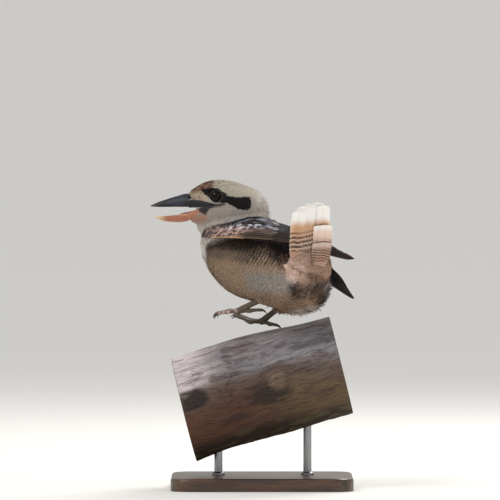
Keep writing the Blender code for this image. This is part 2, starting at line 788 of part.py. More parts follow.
def rectrix(side, number):
    """One tail feather: a vane that leaves the root close to its neighbours and fans out."""
    along, across, under = tail_frame()
    sign = -1.0 if side == "left" else 1.0
    length = RECTRICES[side][number]
    s = np.array((0.0, 0.18, 0.36, 0.62, 0.86, 0.965, 1.0))
    place = length * s
    spread = through([0.0, 0.035, 0.070, 0.124], [0.42, 0.93, 1.0, 0.87], place)
    home = sign * RECTRIX_HOMES[side][number]
    layer = (3.5 - RECTRIX_LAYERS[side][number]) * RECTRIX_STEP
    half = RECTRIX_HALF_WIDTH * np.array((0.45, 0.85, 0.94, 0.96, 0.97, 0.80, 0.30))
    middle = TAIL_ROOT + place[:, None] * along + (spread * home)[:, None] * across
    middle = middle + (layer * np.clip(4 * s, 0.35, 1))[:, None] * under
    low = middle - half[:, None] * across
    high = middle + half[:, None] * across
    return vane(f"rectrix_{side}_{number + 1}", low, high, np.broadcast_to(under, low.shape))


def make_tail():
    """Twelve tail feathers in layers, with a cone of covering feathers round their roots."""
    along, across, under = tail_frame()
    table = np.array(list(COVERT_STATIONS.values()))
    rows = through(table[:, 0], table, np.linspace(table[0, 0], table[-1, 0], 9))
    angle = np.linspace(0.0, 2 * math.pi, 16, endpoint=False)
    wide = (rows[:, 1:2] * np.cos(angle))[..., None] * across
    tall = np.sin(angle) * np.where(np.sin(angle) > 0, rows[:, 2:3], rows[:, 3:4])
    rings = TAIL_ROOT + rows[:, None, 0:1] * along + wide + tall[..., None] * under
    tail = loft("tail", rings, barred_feather())
    pieces = [rectrix(side, number) for side in RECTRICES for number in range(6)]
    return fused(tail, pieces)


def tube(name, points, radii, finish, bevel_resolution=2, collection=COLLECTION):
    """A round bar along points, with its own radius at each, closed at both ends."""
    curve = bpy.data.curves.new(name, "CURVE")
    curve.dimensions = "3D"
    curve.bevel_depth = 1.0
    curve.bevel_resolution = bevel_resolution
    curve.use_fill_caps = True
    spline = curve.splines.new("POLY")
    spline.points.add(len(points) - 1)
    for knot, place, radius in zip(spline.points, points, radii):
        knot.co = (*map(float, place), 1.0)
        knot.radius = float(radius)
    obj = bpy.data.objects.new(name, curve)
    bpy.data.collections[collection].objects.link(obj)
    bpy.context.view_layer.update()
    made = applied(obj)
    if finish:
        made.data.materials.append(finish)
    shell = bmesh.new()
    shell.from_mesh(made.data)
    bmesh.ops.recalc_face_normals(shell, faces=shell.faces)
    shell.to_mesh(made.data)
    shell.free()
    return made


# Legs: hip, heel and foot joints, and the ends of the toes.
LEGS = {
    "left": {
        "hip": (0.0100, -0.0280, 0.2230),
        "heel": (-0.0020, -0.0230, 0.2080),
        "ankle": (-0.0270, -0.0110, 0.1945),
        "toes": {
            "inner": ((-0.0350, -0.0010, 0.1950), (-0.0450, 0.0060, 0.1930)),
            "middle": ((-0.0360, -0.0070, 0.1948), (-0.0495, -0.0020, 0.1925)),
            "outer": ((-0.0365, -0.0120, 0.1942), (-0.0480, -0.0095, 0.1920)),
            "hind": ((-0.0150, -0.0150, 0.1955), (-0.0005, -0.0185, 0.1965)),
        },
    },
    "right": {
        "hip": (0.0260, 0.0010, 0.2170),
        "heel": (0.0200, 0.0060, 0.1990),
        "ankle": (0.0000, 0.0165, 0.1830),
        "toes": {
            "inner": ((-0.0120, 0.0255, 0.1838), (-0.0240, 0.0330, 0.1890)),
            "middle": ((-0.0130, 0.0195, 0.1828), (-0.0285, 0.0260, 0.1895)),
            "outer": ((-0.0125, 0.0140, 0.1822), (-0.0265, 0.0175, 0.1880)),
            "hind": ((0.0080, 0.0130, 0.1803), (0.0170, 0.0090, 0.1788)),
        },
    },
}
TOE_RADIUS = 0.0026
SHANK_RADIUS = 0.0033


def make_leg(side, torso):
    """A feathered thigh, a bare shank, a foot of four toes, and a claw on each toe."""
    spot = {k: np.array(v) for k, v in LEGS[side].items() if k != "toes"}
    hip, heel, ankle = spot["hip"], spot["heel"], spot["ankle"]
    thigh_path = [hip, hip * 0.5 + heel * 0.5, heel + (ankle - heel) * 0.10]
    thigh = tube(f"thigh_{side}", thigh_path, (0.0130, 0.0105, 0.0055), cream_feather(), 4)
    cut_clear(thigh, torso)
    shank_path = [heel + (ankle - heel) * s for s in (0.0, 0.12, 0.3, 0.6, 0.86)]
    radii = [SHANK_RADIUS * r for r in (1.15, 1.12, 1.0, 0.95, 1.05)]
    shank = tube(f"shank_{side}", shank_path, radii, leg_skin(), 3)
    cut_clear(shank, thigh, torso)
    toes = []
    claws = []
    for name, (joint, end) in LEGS[side]["toes"].items():
        joint, end = np.array(joint), np.array(end)
        path = [ankle, ankle * 0.4 + joint * 0.6, joint, joint * 0.5 + end * 0.5, end]
        shares = (1.1, 1.0, 1.08, 0.85, 0.80)
        toe = tube(f"toe_{name}_{side}", path, [TOE_RADIUS * r for r in shares], leg_skin(), 2)
        toes.append(toe)
        claws.append(make_claw(f"claw_{name}_{side}", joint, end))
    pad = ellipsoid(f"foot_{side}", ankle, (0.0044, 0.0042, 0.0038), segments=12,
                    finish=leg_skin(), collection=COLLECTION)
    foot = fused(pad, toes)
    cut_clear(shank, foot)
    for claw in claws:
        cut_clear(claw, foot)
    return thigh, shank, foot, claws


CLAW_LENGTH = 0.0090
CLAW_BEND = math.radians(75)


def make_claw(name, joint, end):
    """A curved claw that carries on the toe's line and hooks down to a point."""
    way = unit(end - joint)
    side = unit(np.cross(way, UP))
    down = np.cross(way, side)
    if down[2] > 0:
        down = -down
    t = np.linspace(0.0, 1.0, 6)
    bend = CLAW_BEND * t
    radius = CLAW_LENGTH / CLAW_BEND
    path = end - way * 0.0012 + radius * (
        np.sin(bend)[:, None] * way + (1 - np.cos(bend))[:, None] * down
    )
    radii = 0.0017 * (1 - t) ** 0.7 + 0.00025
    return tube(name, path, radii, dark_horn(), 1)


# Perch and stand
PERCH_CENTRE = np.array([0.0000, 0.0060, 0.1132])
PERCH_DROOP = 0.0060


def make_perch():
    """A cut length of branch, rising to the right, with flat sawn ends."""
    along = np.array([math.cos(PERCH_SLOPE), 0.0, math.sin(PERCH_SLOPE)])
    top = np.array([-math.sin(PERCH_SLOPE), 0.0, math.cos(PERCH_SLOPE)])
    side = np.array([0.0, 1.0, 0.0])
    rows, around = 12, 28
    t = np.linspace(0.0, 1.0, rows)
    angle = np.linspace(0.0, 2 * math.pi, around, endpoint=False)
    radius = PERCH_RADIUS_LOW + (PERCH_RADIUS_HIGH - PERCH_RADIUS_LOW) * t[:, None]
    wave = (
        0.0010 * np.sin(3 * angle + 2.0 * t[:, None])
        + 0.0008 * np.sin(5 * angle - 5.0 * t[:, None] + 1.0)
        + 0.0006 * np.sin(9.0 * t[:, None] + 2 * angle)
    )
    reach = radius + wave - 0.0008
    middle = PERCH_CENTRE + along * (PERCH_LENGTH * (t - 0.5))[:, None]
    middle = middle - top * (PERCH_DROOP * np.clip(1 - t / 0.6, 0, 1) ** 2)[:, None]
    rings = (
        middle[:, None]
        + (reach * np.cos(angle))[..., None] * side
        + (reach * np.sin(angle))[..., None] * top
    )
    return loft("perch", rings, branch_wood())


def make_stand(perch):
    """A flat base with rounded edges, and two rods up to the perch."""
    mesh = bpy.data.meshes.new("stand_base")
    shell = bmesh.new()
    bmesh.ops.create_cube(shell, size=1.0)
    bmesh.ops.scale(shell, vec=(BASE_LENGTH, BASE_WIDTH, BASE_THICKNESS), verts=shell.verts)
    bmesh.ops.translate(shell, vec=(0, 0, BASE_THICKNESS / 2), verts=shell.verts)
    corners = [e for e in shell.edges if abs(e.verts[0].co.z - e.verts[1].co.z) > 0.001]
    bmesh.ops.bevel(shell, geom=corners, offset=0.022, segments=6, affect="EDGES", profile=0.5)
    rim = [
        e
        for e in shell.edges
        if all(abs(v.co.z - BASE_THICKNESS) < 1e-6 for v in e.verts) and len(e.link_faces) == 2
    ]
    bmesh.ops.bevel(shell, geom=rim, offset=0.003, segments=2, affect="EDGES", profile=0.5)
    shell.to_mesh(mesh)
    shell.free()
    base = bpy.data.objects.new("stand_base", mesh)
    mesh.materials.append(stand_wood())
    bpy.data.collections[COLLECTION].objects.link(base)
    for name, x in (("stand_rod_low", -0.048), ("stand_rod_high", 0.050)):
        foot = (x, PERCH_CENTRE[1], BASE_THICKNESS + GAP)
        head = (x, PERCH_CENTRE[1], PERCH_CENTRE[2])
        rod = tube(name, [foot, head], (ROD_RADIUS, ROD_RADIUS), stand_steel(), 4)
        cut_clear(rod, perch)


def main():
    clear_scene()
    torso, neck = make_torso_and_neck()
    head = make_head()
    cut_clear(neck, head)
    for side in ("left", "right"):
        cut_clear(make_wing(side), torso, neck)
    cut_clear(make_tail(), torso)
    perch = make_perch()
    for side in ("left", "right"):
        claws = make_leg(side, torso)[3]
        for claw in claws:
            if claw.name == "claw_hind_right":
                cut_clear(perch, claw)
    make_stand(perch)


main()
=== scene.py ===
"""Looks of the life-size laughing kookaburra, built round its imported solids.

One skin stands for the flesh, feathers lie on it in coats, wings and tail are made feather by
feather, and the bill, eyes, legs, claws, perch and stand are pieces of their own. Units are
metres, +Z is up, the bill points along -X and the viewer of the photo stands at -Y.
"""

import logging
import math
from dataclasses import dataclass
from enum import Enum
from typing import Any, ClassVar, Sequence

import bpy
import numpy as np
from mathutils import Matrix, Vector
from mathutils.bvhtree import BVHTree


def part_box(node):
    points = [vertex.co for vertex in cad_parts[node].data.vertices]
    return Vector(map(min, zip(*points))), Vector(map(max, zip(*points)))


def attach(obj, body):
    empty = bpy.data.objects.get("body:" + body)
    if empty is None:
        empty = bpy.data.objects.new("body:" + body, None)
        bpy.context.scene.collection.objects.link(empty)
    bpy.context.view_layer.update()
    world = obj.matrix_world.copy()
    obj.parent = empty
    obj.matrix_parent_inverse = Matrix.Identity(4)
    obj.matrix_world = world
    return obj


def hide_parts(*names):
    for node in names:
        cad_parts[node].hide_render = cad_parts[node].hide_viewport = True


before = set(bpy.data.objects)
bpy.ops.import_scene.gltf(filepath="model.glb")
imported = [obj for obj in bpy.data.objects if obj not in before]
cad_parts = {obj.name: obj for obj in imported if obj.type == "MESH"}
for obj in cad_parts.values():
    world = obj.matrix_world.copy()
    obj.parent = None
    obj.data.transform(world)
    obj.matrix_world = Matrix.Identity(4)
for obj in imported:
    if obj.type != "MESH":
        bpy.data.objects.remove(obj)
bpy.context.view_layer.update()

LOG = logging.getLogger("kookaburra")
Array = np.ndarray
Rgb = tuple[float, float, float]
Pairs = tuple[tuple[float, float], ...]
Material = bpy.types.Material
Object = bpy.types.Object
Random = np.random.Generator

SEED = 20261
COLOUR_KEYS = ("ground", "fringe")
BODY_TURN = math.radians(40)
BODY_CENTRE = np.array([0.0, 0.0, 0.2486])
FORWARD = np.array([-math.cos(BODY_TURN), math.sin(BODY_TURN), 0.0])
LEFT = np.array([-math.sin(BODY_TURN), -math.cos(BODY_TURN), 0.0])
UP = np.array([0.0, 0.0, 1.0])
HEAD_PLANE_Y = 0.021
PERCH_CENTRE = (0.0, 0.0060, 0.1132)
PERCH_SLOPE = math.radians(14)
EYE_AT = np.array([-0.0503, 0.0174, 0.3207])
TAIL_ROOT = np.array([0.0510, -0.0500, 0.2370])
TAIL_WAY = np.array([0.030, -0.78, 0.62]) / np.linalg.norm([0.030, -0.78, 0.62])
TAIL_ACROSS = np.array([1.0, 0.0, 0.0]) - TAIL_WAY * TAIL_WAY[0]
TAIL_ACROSS = TAIL_ACROSS / np.linalg.norm(TAIL_ACROSS)
TAIL_UNDER = -np.cross(TAIL_WAY, TAIL_ACROSS) * np.sign(np.cross(TAIL_WAY, TAIL_ACROSS)[1])


class Side(Enum):
    """The bird's own left and right."""

    LEFT = "left"
    RIGHT = "right"

    @property
    def sign(self) -> float:
        """-1 on the bird's left, the viewer's side, and 1 on its right."""
        return -1.0 if self is Side.LEFT else 1.0


def unit(v: Any) -> Array:
    """Vectors at length one."""
    v = np.asarray(v, float)
    return v / np.maximum(np.linalg.norm(v, axis=-1, keepdims=True), 1e-12)


def smooth(x: Any, low: float, high: float) -> Array:
    """A step from 0 at low to 1 at high, as 3t^2 - 2t^3."""
    t = np.clip((np.asarray(x, float) - low) / (high - low), 0.0, 1.0)
    return t * t * (3 - 2 * t)


def window(*edges: tuple[Any, float, float]) -> Array:
    """The product of smooth steps, each given by its values, low and high."""
    share = 1.0
    for values, low, high in edges:
        share = share * smooth(values, low, high)
    return share


def through(knots: Sequence[float], values: Any, at: Any) -> Array:
    """A smooth curve through named values: a cubic with the slopes of its neighbours.

    Args:
        knots: Where the values stand, rising.
        values: One value or row of values for each knot.
        at: Where the curve is read.

    Returns:
        The values there.
    """
    knots, values = np.asarray(knots, float), np.asarray(values, float)
    flat = values.reshape(len(knots), -1)
    slopes = np.gradient(flat, knots, axis=0)
    at = np.clip(np.asarray(at, float), knots[0], knots[-1])
    i = np.clip(np.searchsorted(knots, at, side="right") - 1, 0, len(knots) - 2)
    h = (knots[i + 1] - knots[i])[..., None]
    t = (at - knots[i])[..., None] / h
    rise = (2 * t**3 - 3 * t**2 + 1) * flat[i] + (3 * t**2 - 2 * t**3) * flat[i + 1]
    bend = (t**3 - 2 * t**2 + t) * h * slopes[i] + (t**3 - t**2) * h * slopes[i + 1]
    return (rise + bend).reshape(at.shape + values.shape[1:])


def angles(count: int) -> Array:
    """Angles evenly round a circle."""
    return np.linspace(0.0, 2 * math.pi, count, endpoint=False)


def knots(*numbers: float) -> Array:
    """Rows of three numbers, from the numbers in turn."""
    return np.array(numbers).reshape(-1, 3)


def spread(values: Any, shape: Sequence[int]) -> Array:
    """Values said again to fill a shape."""
    return np.broadcast_to(values, shape)


def bird(ahead: Any, left: Any, above: Any) -> Array:
    """A point given along the bird's own length, to its left, and up from its middle."""
    ahead, left, above = np.broadcast_arrays(*(np.asarray(v, float) for v in (ahead, left, above)))
    return BODY_CENTRE + ahead[..., None] * FORWARD + left[..., None] * LEFT + above[..., None] * UP


def in_bird(points: Array) -> tuple[Array, Array, Array]:
    """How far ahead, to the left and above the bird's middle points are."""
    d = points - BODY_CENTRE
    return d @ FORWARD, d @ LEFT, d @ UP


def in_tail(points: Array) -> tuple[Array, Array]:
    """How far out along the tail points are, and how far aside of its line."""
    from_tail = points - TAIL_ROOT
    along = from_tail @ TAIL_WAY
    return along, np.linalg.norm(from_tail - along[:, None] * TAIL_WAY, axis=1)


def tone(colour: Any) -> Array:
    """A colour of the usual 0 to 255 scale made linear; an array is linear already."""
    if isinstance(colour, np.ndarray):
        return colour
    c = np.array(colour, float) / 255
    return np.where(c <= 0.04045, c / 12.92, ((c + 0.055) / 1.055) ** 2.4)


def lerp(a: Array, b: Array, share: Any) -> Array:
    """From a to b by a share for each row."""
    share = np.asarray(share, float)
    return a + (b - a) * (share[..., None] if np.ndim(share) else share)


def between(a: Any, b: Any, share: Array) -> Array:
    """From number a to number b by a share, element by element."""
    return a + (b - a) * share


def layered(base: Any, *layers: tuple[Any, Any]) -> Array:
    """Colours laid one over another.

    Args:
        base: The lowest colour, as a tone or an array.
        layers: Pairs of a colour and how much of it shows at each place.

    Returns:
        The colours, linear.
    """
    colour = tone(base)
    for upper, share in layers:
        colour = lerp(colour, tone(upper), share)
    return colour


def patch(x: Array, z: Array, outline: Sequence[tuple[float, float]], soft: float) -> Array:
    """How far inside an outline places lie, in the plane of X and Z, in millimetres.

    Args:
        x: Places along X.
        z: Places along Z.
        outline: The corners of the outline.
        soft: Half the width of its soft edge.

    Returns:
        1 well inside, 0 well outside, and a smooth step of the distance to the edge between.
    """
    a = np.array(outline, float)
    edge = np.roll(a, -1, axis=0) - a
    p = np.stack([x, z], axis=-1)[:, None]
    t = np.clip(((p - a) * edge).sum(-1) / (edge**2).sum(-1), 0, 1)
    gap = np.linalg.norm(p - (a + t[..., None] * edge), axis=-1).min(axis=1)
    above = (a[:, 1] > p[..., 1]) != (np.roll(a[:, 1], -1) > p[..., 1])
    slope = np.where(np.abs(edge[:, 1]) < 1e-9, 1e-9, edge[:, 1])
    cross = p[..., 0] < edge[:, 0] * (p[..., 1] - a[:, 1]) / slope + a[:, 0]
    inside = (above & cross).sum(axis=1) % 2 == 1
    return smooth(np.where(inside, gap, -gap), -soft, soft)


def lattice_noise(points: Array, scale: float, seed: int = 0) -> Array:
    """Value noise: random numbers on a lattice of that spacing, blended by smooth steps.

    Args:
        points: Places, in metres.
        scale: Lattice spacing, in metres.
        seed: Which lattice.

    Returns:
        Numbers from 0 to 1, one for each place.
    """
    q = points / scale + 1000.0
    cell = np.floor(q).astype(np.int64)
    t = q - cell
    t = t * t * (3 - 2 * t)
    total = np.zeros(points.shape[:-1])
    for corner in range(8):
        step = np.array([corner & 1, (corner >> 1) & 1, (corner >> 2) & 1])
        c = cell + step
        h = (c[..., 0] * 73856093) ^ (c[..., 1] * 19349663) ^ (c[..., 2] * 83492791)
        h = h ^ (seed * 2654435761)
        h = (h ^ (h >> 13)) * 1274126177 & 0x7FFFFFFF
        h = (h ^ (h >> 16)) & 0xFFFF
        total += np.where(step == 1, t, 1 - t).prod(axis=-1) * (h / 65535.0)
    return total


def rough_noise(points: Array, scale: float, octaves: int = 3, seed: int = 0) -> Array:
    """Value noise summed over octaves, each half as wide and half as strong, from 0 to 1."""
    total, weight = np.zeros(points.shape[:-1]), 0.0
    for k in range(octaves):
        total += lattice_noise(points, scale / 2**k, seed + 17 * k) * 0.5**k
        weight += 0.5**k
    return total / weight


def read(items: Any, key: str, kind: type, each: int = 1) -> Array:
    """One property of many items, each of so many numbers, as one flat array."""
    values = np.empty(len(items) * each, kind)
    items.foreach_get(key, values)
    return values


def solid(name: str) -> tuple[Array, Array]:
    """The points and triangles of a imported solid."""
    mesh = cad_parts[name].data
    mesh.calc_loop_triangles()
    triangles = read(mesh.loop_triangles, "vertices", np.int32, 3)
    return read(mesh.vertices, "co", float, 3).reshape(-1, 3), triangles.reshape(-1, 3)


def put_mesh(
    name: str, points: Array, corners: Array, sizes: Array, finish: Material,
    attributes: dict[str, Array] | None = None, flat_faces: Array | None = None,
    bake_map: Array | None = None,
) -> Object:
    """Makes an object from whole arrays.

    Args:
        name: The piece's name.
        points: Its points, one row each.
        corners: The point of every face corner, face after face.
        sizes: How many corners each face has.
        finish: Its material.
        attributes: Rows by point: colours where COLOUR_KEYS names them, else vectors.
        flat_faces: True for each face that is shaded flat.
        bake_map: The place of each point on the bake map.

    Returns:
        The object, at the origin.
    """
    mesh = bpy.data.meshes.new(name)
    mesh.vertices.add(len(points))
    mesh.vertices.foreach_set("co", points.astype(np.float32).ravel())
    mesh.loops.add(len(corners))
    mesh.loops.foreach_set("vertex_index", corners.astype(np.int32))
    mesh.polygons.add(len(sizes))
    mesh.polygons.foreach_set("loop_start", (np.cumsum(sizes) - sizes).astype(np.int32))
    mesh.update(calc_edges=True)
    soft = np.ones(len(sizes), bool) if flat_faces is None else ~flat_faces
    mesh.polygons.foreach_set("use_smooth", soft)
    for key, value in (attributes or {}).items():
        value = value.reshape(-1, 3)
        kind, channel = "FLOAT_VECTOR", "vector"
        if key in COLOUR_KEYS:
            kind, channel = "FLOAT_COLOR", "color"
            value = np.concatenate([value, np.ones((len(value), 1))], axis=1)
        layer = mesh.attributes.new(key, kind, "POINT")
        layer.data.foreach_set(channel, value.astype(np.float32).ravel())
    if bake_map is not None:
        uv = mesh.uv_layers.new(name="OFBake")
        uv.data.foreach_set("uv", bake_map[corners].astype(np.float32).ravel())
    mesh.materials.append(finish)
    obj = bpy.data.objects.new(name, mesh)
    bpy.context.scene.collection.objects.link(obj)
    return obj


def tube_faces(rows: int, around: int) -> tuple[Array, Array]:
    """Corners and sizes of a closed tube of rings: quads between, and one face at each end."""
    a = np.arange(rows * around).reshape(rows, around)
    n = np.roll(a, -1, axis=1)
    quads = np.stack([a[:-1], a[1:], n[1:], n[:-1]], -1)
    corners = np.concatenate([quads.reshape(-1), a[0], a[-1, ::-1]])
    return corners, np.array([4] * ((rows - 1) * around) + [around] * 2)


def turned_out(points: Array, corners: Array, sizes: Array) -> Array:
    """The corners with every face turned round if the closed shape would face inwards.

    Args:
        points: Points of a closed shape.
        corners: The point of every face corner.
        sizes: How many corners each face has.

    Returns:
        The corners, of faces that look outwards.
    """
    starts = np.cumsum(sizes) - sizes
    middle = points.mean(axis=0)
    volume = 0.0
    for size in np.unique(sizes):
        p = points[corners[starts[sizes == size][:, None] + np.arange(size)]] - middle
        for k in range(1, size - 1):
            volume += np.einsum("ij,ij->", p[:, 0], np.cross(p[:, k], p[:, k + 1]))
    if volume >= 0:
        return corners
    face = np.repeat(np.arange(len(sizes)), sizes)
    place = np.arange(len(corners)) - starts[face]
    return corners[starts[face] + sizes[face] - 1 - place]


def repeated(corners: Array, sizes: Array, step: int, count: int) -> tuple[Array, Array]:
    """The faces of one small shape said again for count copies, each step points further on."""
    shift = np.arange(count)[:, None] * step
    return (corners[None] + shift).reshape(-1), np.tile(sizes, count)


def joined(tubes: Sequence[Array]) -> tuple[Array, Array, Array]:
    """Several closed tubes as the points, corners and sizes of one mesh, each facing out.

    Args:
        tubes: Rings of points of each tube.

    Returns:
        Points, corners and sizes.
    """
    points, corners, sizes, start = [], [], [], 0
    for rings in tubes:
        flat = rings.reshape(-1, 3)
        c, s = tube_faces(*rings.shape[:2])
        corners.append(turned_out(flat, c, s) + start)
        sizes.append(s)
        points.append(flat)
        start += len(flat)
    return np.concatenate(points), np.concatenate(corners), np.concatenate(sizes)


def dressed(obj: Object, slot: str, *nodes: str) -> Object:
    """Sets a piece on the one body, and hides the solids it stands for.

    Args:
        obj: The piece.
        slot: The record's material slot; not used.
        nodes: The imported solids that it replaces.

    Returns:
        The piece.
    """
    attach(obj, "root")
    if nodes:
        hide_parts(*nodes)
    faces = len(obj.data.polygons)
    LOG.info("%s: %d faces, stands for %s", obj.name, faces, list(nodes) or "nothing")
    return obj


def turned(name: str, tubes: Sequence[Array], finish: Material, colour: Array | None, slot: str,
           *nodes: str) -> Object:
    """Makes and dresses a piece of closed tubes.

    Args:
        name: The piece's name.
        tubes: Rings of points of each tube.
        finish: Its material.
        colour: The ground colour of each point, or of all of them.
        slot: The record's material slot.
        nodes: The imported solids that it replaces.

    Returns:
        The piece.
    """
    points, corners, sizes = joined(tubes)
    ground = {} if colour is None else {"ground": spread(colour, points.shape)}
    return dressed(put_mesh(name, points, corners, sizes, finish, ground), slot, *nodes)


class Nodes:
    """Builds one material's node tree, with the Principled shader ready."""

    def __init__(self, name: str) -> None:
        """Starts a material of that name."""
        self.material = bpy.data.materials.new(name)
        self.material.use_nodes = True
        self.tree = self.material.node_tree

    def feed(self, node: bpy.types.Node, inputs: dict[Any, Any]) -> None:
        """Sets or links inputs of a node by numbers, colours, vectors or sockets.

        Args:
            node: The node.
            inputs: A value or a socket for each of its inputs.
        """
        for slot, value in inputs.items():
            target = node.inputs[slot]
            if isinstance(value, bpy.types.NodeSocket):
                self.tree.links.new(value, target)
            elif target.type == "RGBA":
                target.default_value = (*map(float, value), 1.0)
            elif target.type == "VECTOR":
                target.default_value = tuple(map(float, value))
            else:
                target.default_value = float(value)

    def shade(self, inputs: dict[str, Any]) -> Material:
        """Feeds the shader's own sockets, and gives back the material."""
        self.feed(self.tree.nodes["Principled BSDF"], inputs)
        return self.material

    def add(self, kind: str, inputs: dict[Any, Any], **settings: Any) -> bpy.types.Node:
        """A new shader node with its settings and inputs."""
        node = self.tree.nodes.new("ShaderNode" + kind)
        for key, value in settings.items():
            setattr(node, key, value)
        self.feed(node, inputs)
        return node

    def math(self, operation: str, *values: Any) -> Any:
        """A Math node's result, clamped to nothing."""
        return self.add("Math", dict(enumerate(values)), operation=operation).outputs[0]

    def times(self, a: Any, b: Any) -> Any:
        """The product of two values."""
        return self.math("MULTIPLY", a, b)

    def plus(self, a: Any, b: Any) -> Any:
        """The sum of two values."""
        return self.math("ADD", a, b)

    def step(self, value: Any, low: float, high: float) -> Any:
        """A smooth step of a value from low to high."""
        inputs = {"Value": value, "From Min": low, "From Max": high}
        return self.add("MapRange", inputs, interpolation_type="SMOOTHSTEP").outputs[0]

    def blend(self, share: Any, a: Any, b: Any, kind: str = "MIX") -> Any:
        """Two colours mixed by a share."""
        node = self.add("Mix", {}, data_type="RGBA", blend_type=kind)
        self.feed(node, {0: share, 6: a, 7: b})
        return node.outputs[2]

    def over(self, share: Any, depth: float, a: Any, b: Rgb) -> Any:
        """Colour a with tone b over it, by a share times a depth."""
        return self.blend(self.times(share, depth), a, tone(b))

    def lit(self, colour: Any, light: Any) -> Any:
        """A colour made lighter or darker by a number."""
        return self.blend(1.0, colour, self.vector(light, light, light), "MULTIPLY")

    def attribute(self, name: str, output: str = "Color") -> Any:
        """An attribute of the mesh, as a colour or as a vector."""
        return self.add("Attribute", {}, attribute_name=name).outputs[output]

    def split(self, vector: Any) -> tuple[Any, Any, Any]:
        """The three numbers of a vector."""
        return tuple(self.add("SeparateXYZ", {0: vector}).outputs)

    def parts(self, name: str) -> tuple[Any, Any, Any]:
        """The three numbers of a vector attribute."""
        return self.split(self.attribute(name, "Vector"))

    def vector(self, x: Any, y: Any, z: Any) -> Any:
        """A vector of three numbers."""
        return self.add("CombineXYZ", {0: x, 1: y, 2: z}).outputs[0]

    def place(self) -> Any:
        """Object coordinates."""
        return self.add("TexCoord", {}).outputs["Object"]

    def mapped(self, scale: Sequence[float]) -> Any:
        """Object coordinates scaled by a Mapping node."""
        return self.add("Mapping", {"Vector": self.place(), "Scale": scale}).outputs[0]

    def noise(self, vector: Any, scale: float, detail: float = 2.0, rough: float = 0.5) -> Any:
        """A Noise texture's number."""
        inputs = {"Vector": vector, "Scale": scale, "Detail": detail, "Roughness": rough}
        return self.add("TexNoise", inputs).outputs[0]

    def bump(self, height: Any, strength: float, distance: float) -> Any:
        """The normal of a bump of that height."""
        inputs = {"Strength": strength, "Distance": distance, "Height": height}
        return self.add("Bump", inputs).outputs[0]


@dataclass(frozen=True)
class PlumageFinish:
    """Feather: a ground colour, a paler or darker fringe, fine bars and the grain of its barbs."""

    name: str
    roughness: float = 0.80
    sheen: float = 0.06
    bar_tone: Rgb = (40, 30, 24)
    barbs_across: float = 9.0
    grain: float = 0.30

    def material(self) -> Material:
        """Reads the vane (across, along, chance) and bars (phase, strength, fringe) of each point.

        Returns:
            The material.
        """
        n = Nodes(self.name)
        across, along, chance = n.parts("vane")
        phase, strength, edging = n.parts("bars")
        off = n.math("ABSOLUTE", across)
        rim = n.math("MAXIMUM", n.step(off, 0.50, 0.98), n.step(along, 0.72, 0.98))
        colour = n.blend(n.times(rim, edging), n.attribute("ground"), n.attribute("fringe"))
        slant = n.plus(n.times(along, 3.0), n.times(off, -1.2))
        way = n.vector(n.times(slant, self.barbs_across), n.times(across, 0.8), n.times(chance, 37.0))
        barb = n.noise(way, 1.6, 2.0, 0.6)
        wobble = n.times(n.noise(n.place(), 150.0, 1.0), 1.5)
        turns = n.plus(n.plus(phase, wobble), n.times(chance, 0.14))
        wave = n.step(n.math("SINE", n.times(turns, 2 * math.pi)), -0.25, 0.85)
        colour = n.blend(n.times(wave, strength), colour, tone(self.bar_tone))
        light = n.plus(n.times(barb, self.grain), 1 - 0.5 * self.grain)
        return n.shade({
            "Base Color": n.lit(colour, light), "Roughness": self.roughness,
            "Sheen Weight": self.sheen, "Sheen Roughness": 0.5, "Specular IOR Level": 0.2,
            "Normal": n.bump(barb, 0.35, 0.0004)})


@dataclass(frozen=True)
class GroundFinish:
    """A surface whose colour is marked on its points, with fine grain of its own."""

    name: str
    roughness: float
    grain_scale: float
    grain: float = 0.2
    bump: float = 0.3
    depth: float = 0.0003
    stretch: tuple[float, float, float] = (1.0, 1.0, 1.0)
    coat: float = 0.0
    specular: float = 0.5

    def material(self) -> Material:
        """The marked ground, made lighter and darker by a stretched noise that also bumps it."""
        n = Nodes(self.name)
        grain = n.noise(n.mapped(self.stretch), self.grain_scale, 4.0, 0.6)
        light = n.plus(n.times(grain, 2 * self.grain), 1 - self.grain)
        return n.shade({
            "Base Color": n.lit(n.attribute("ground"), light), "Roughness": self.roughness,
            "Coat Weight": self.coat, "Coat Roughness": 0.08, "Specular IOR Level": self.specular,
            "Normal": n.bump(grain, self.bump, self.depth)})


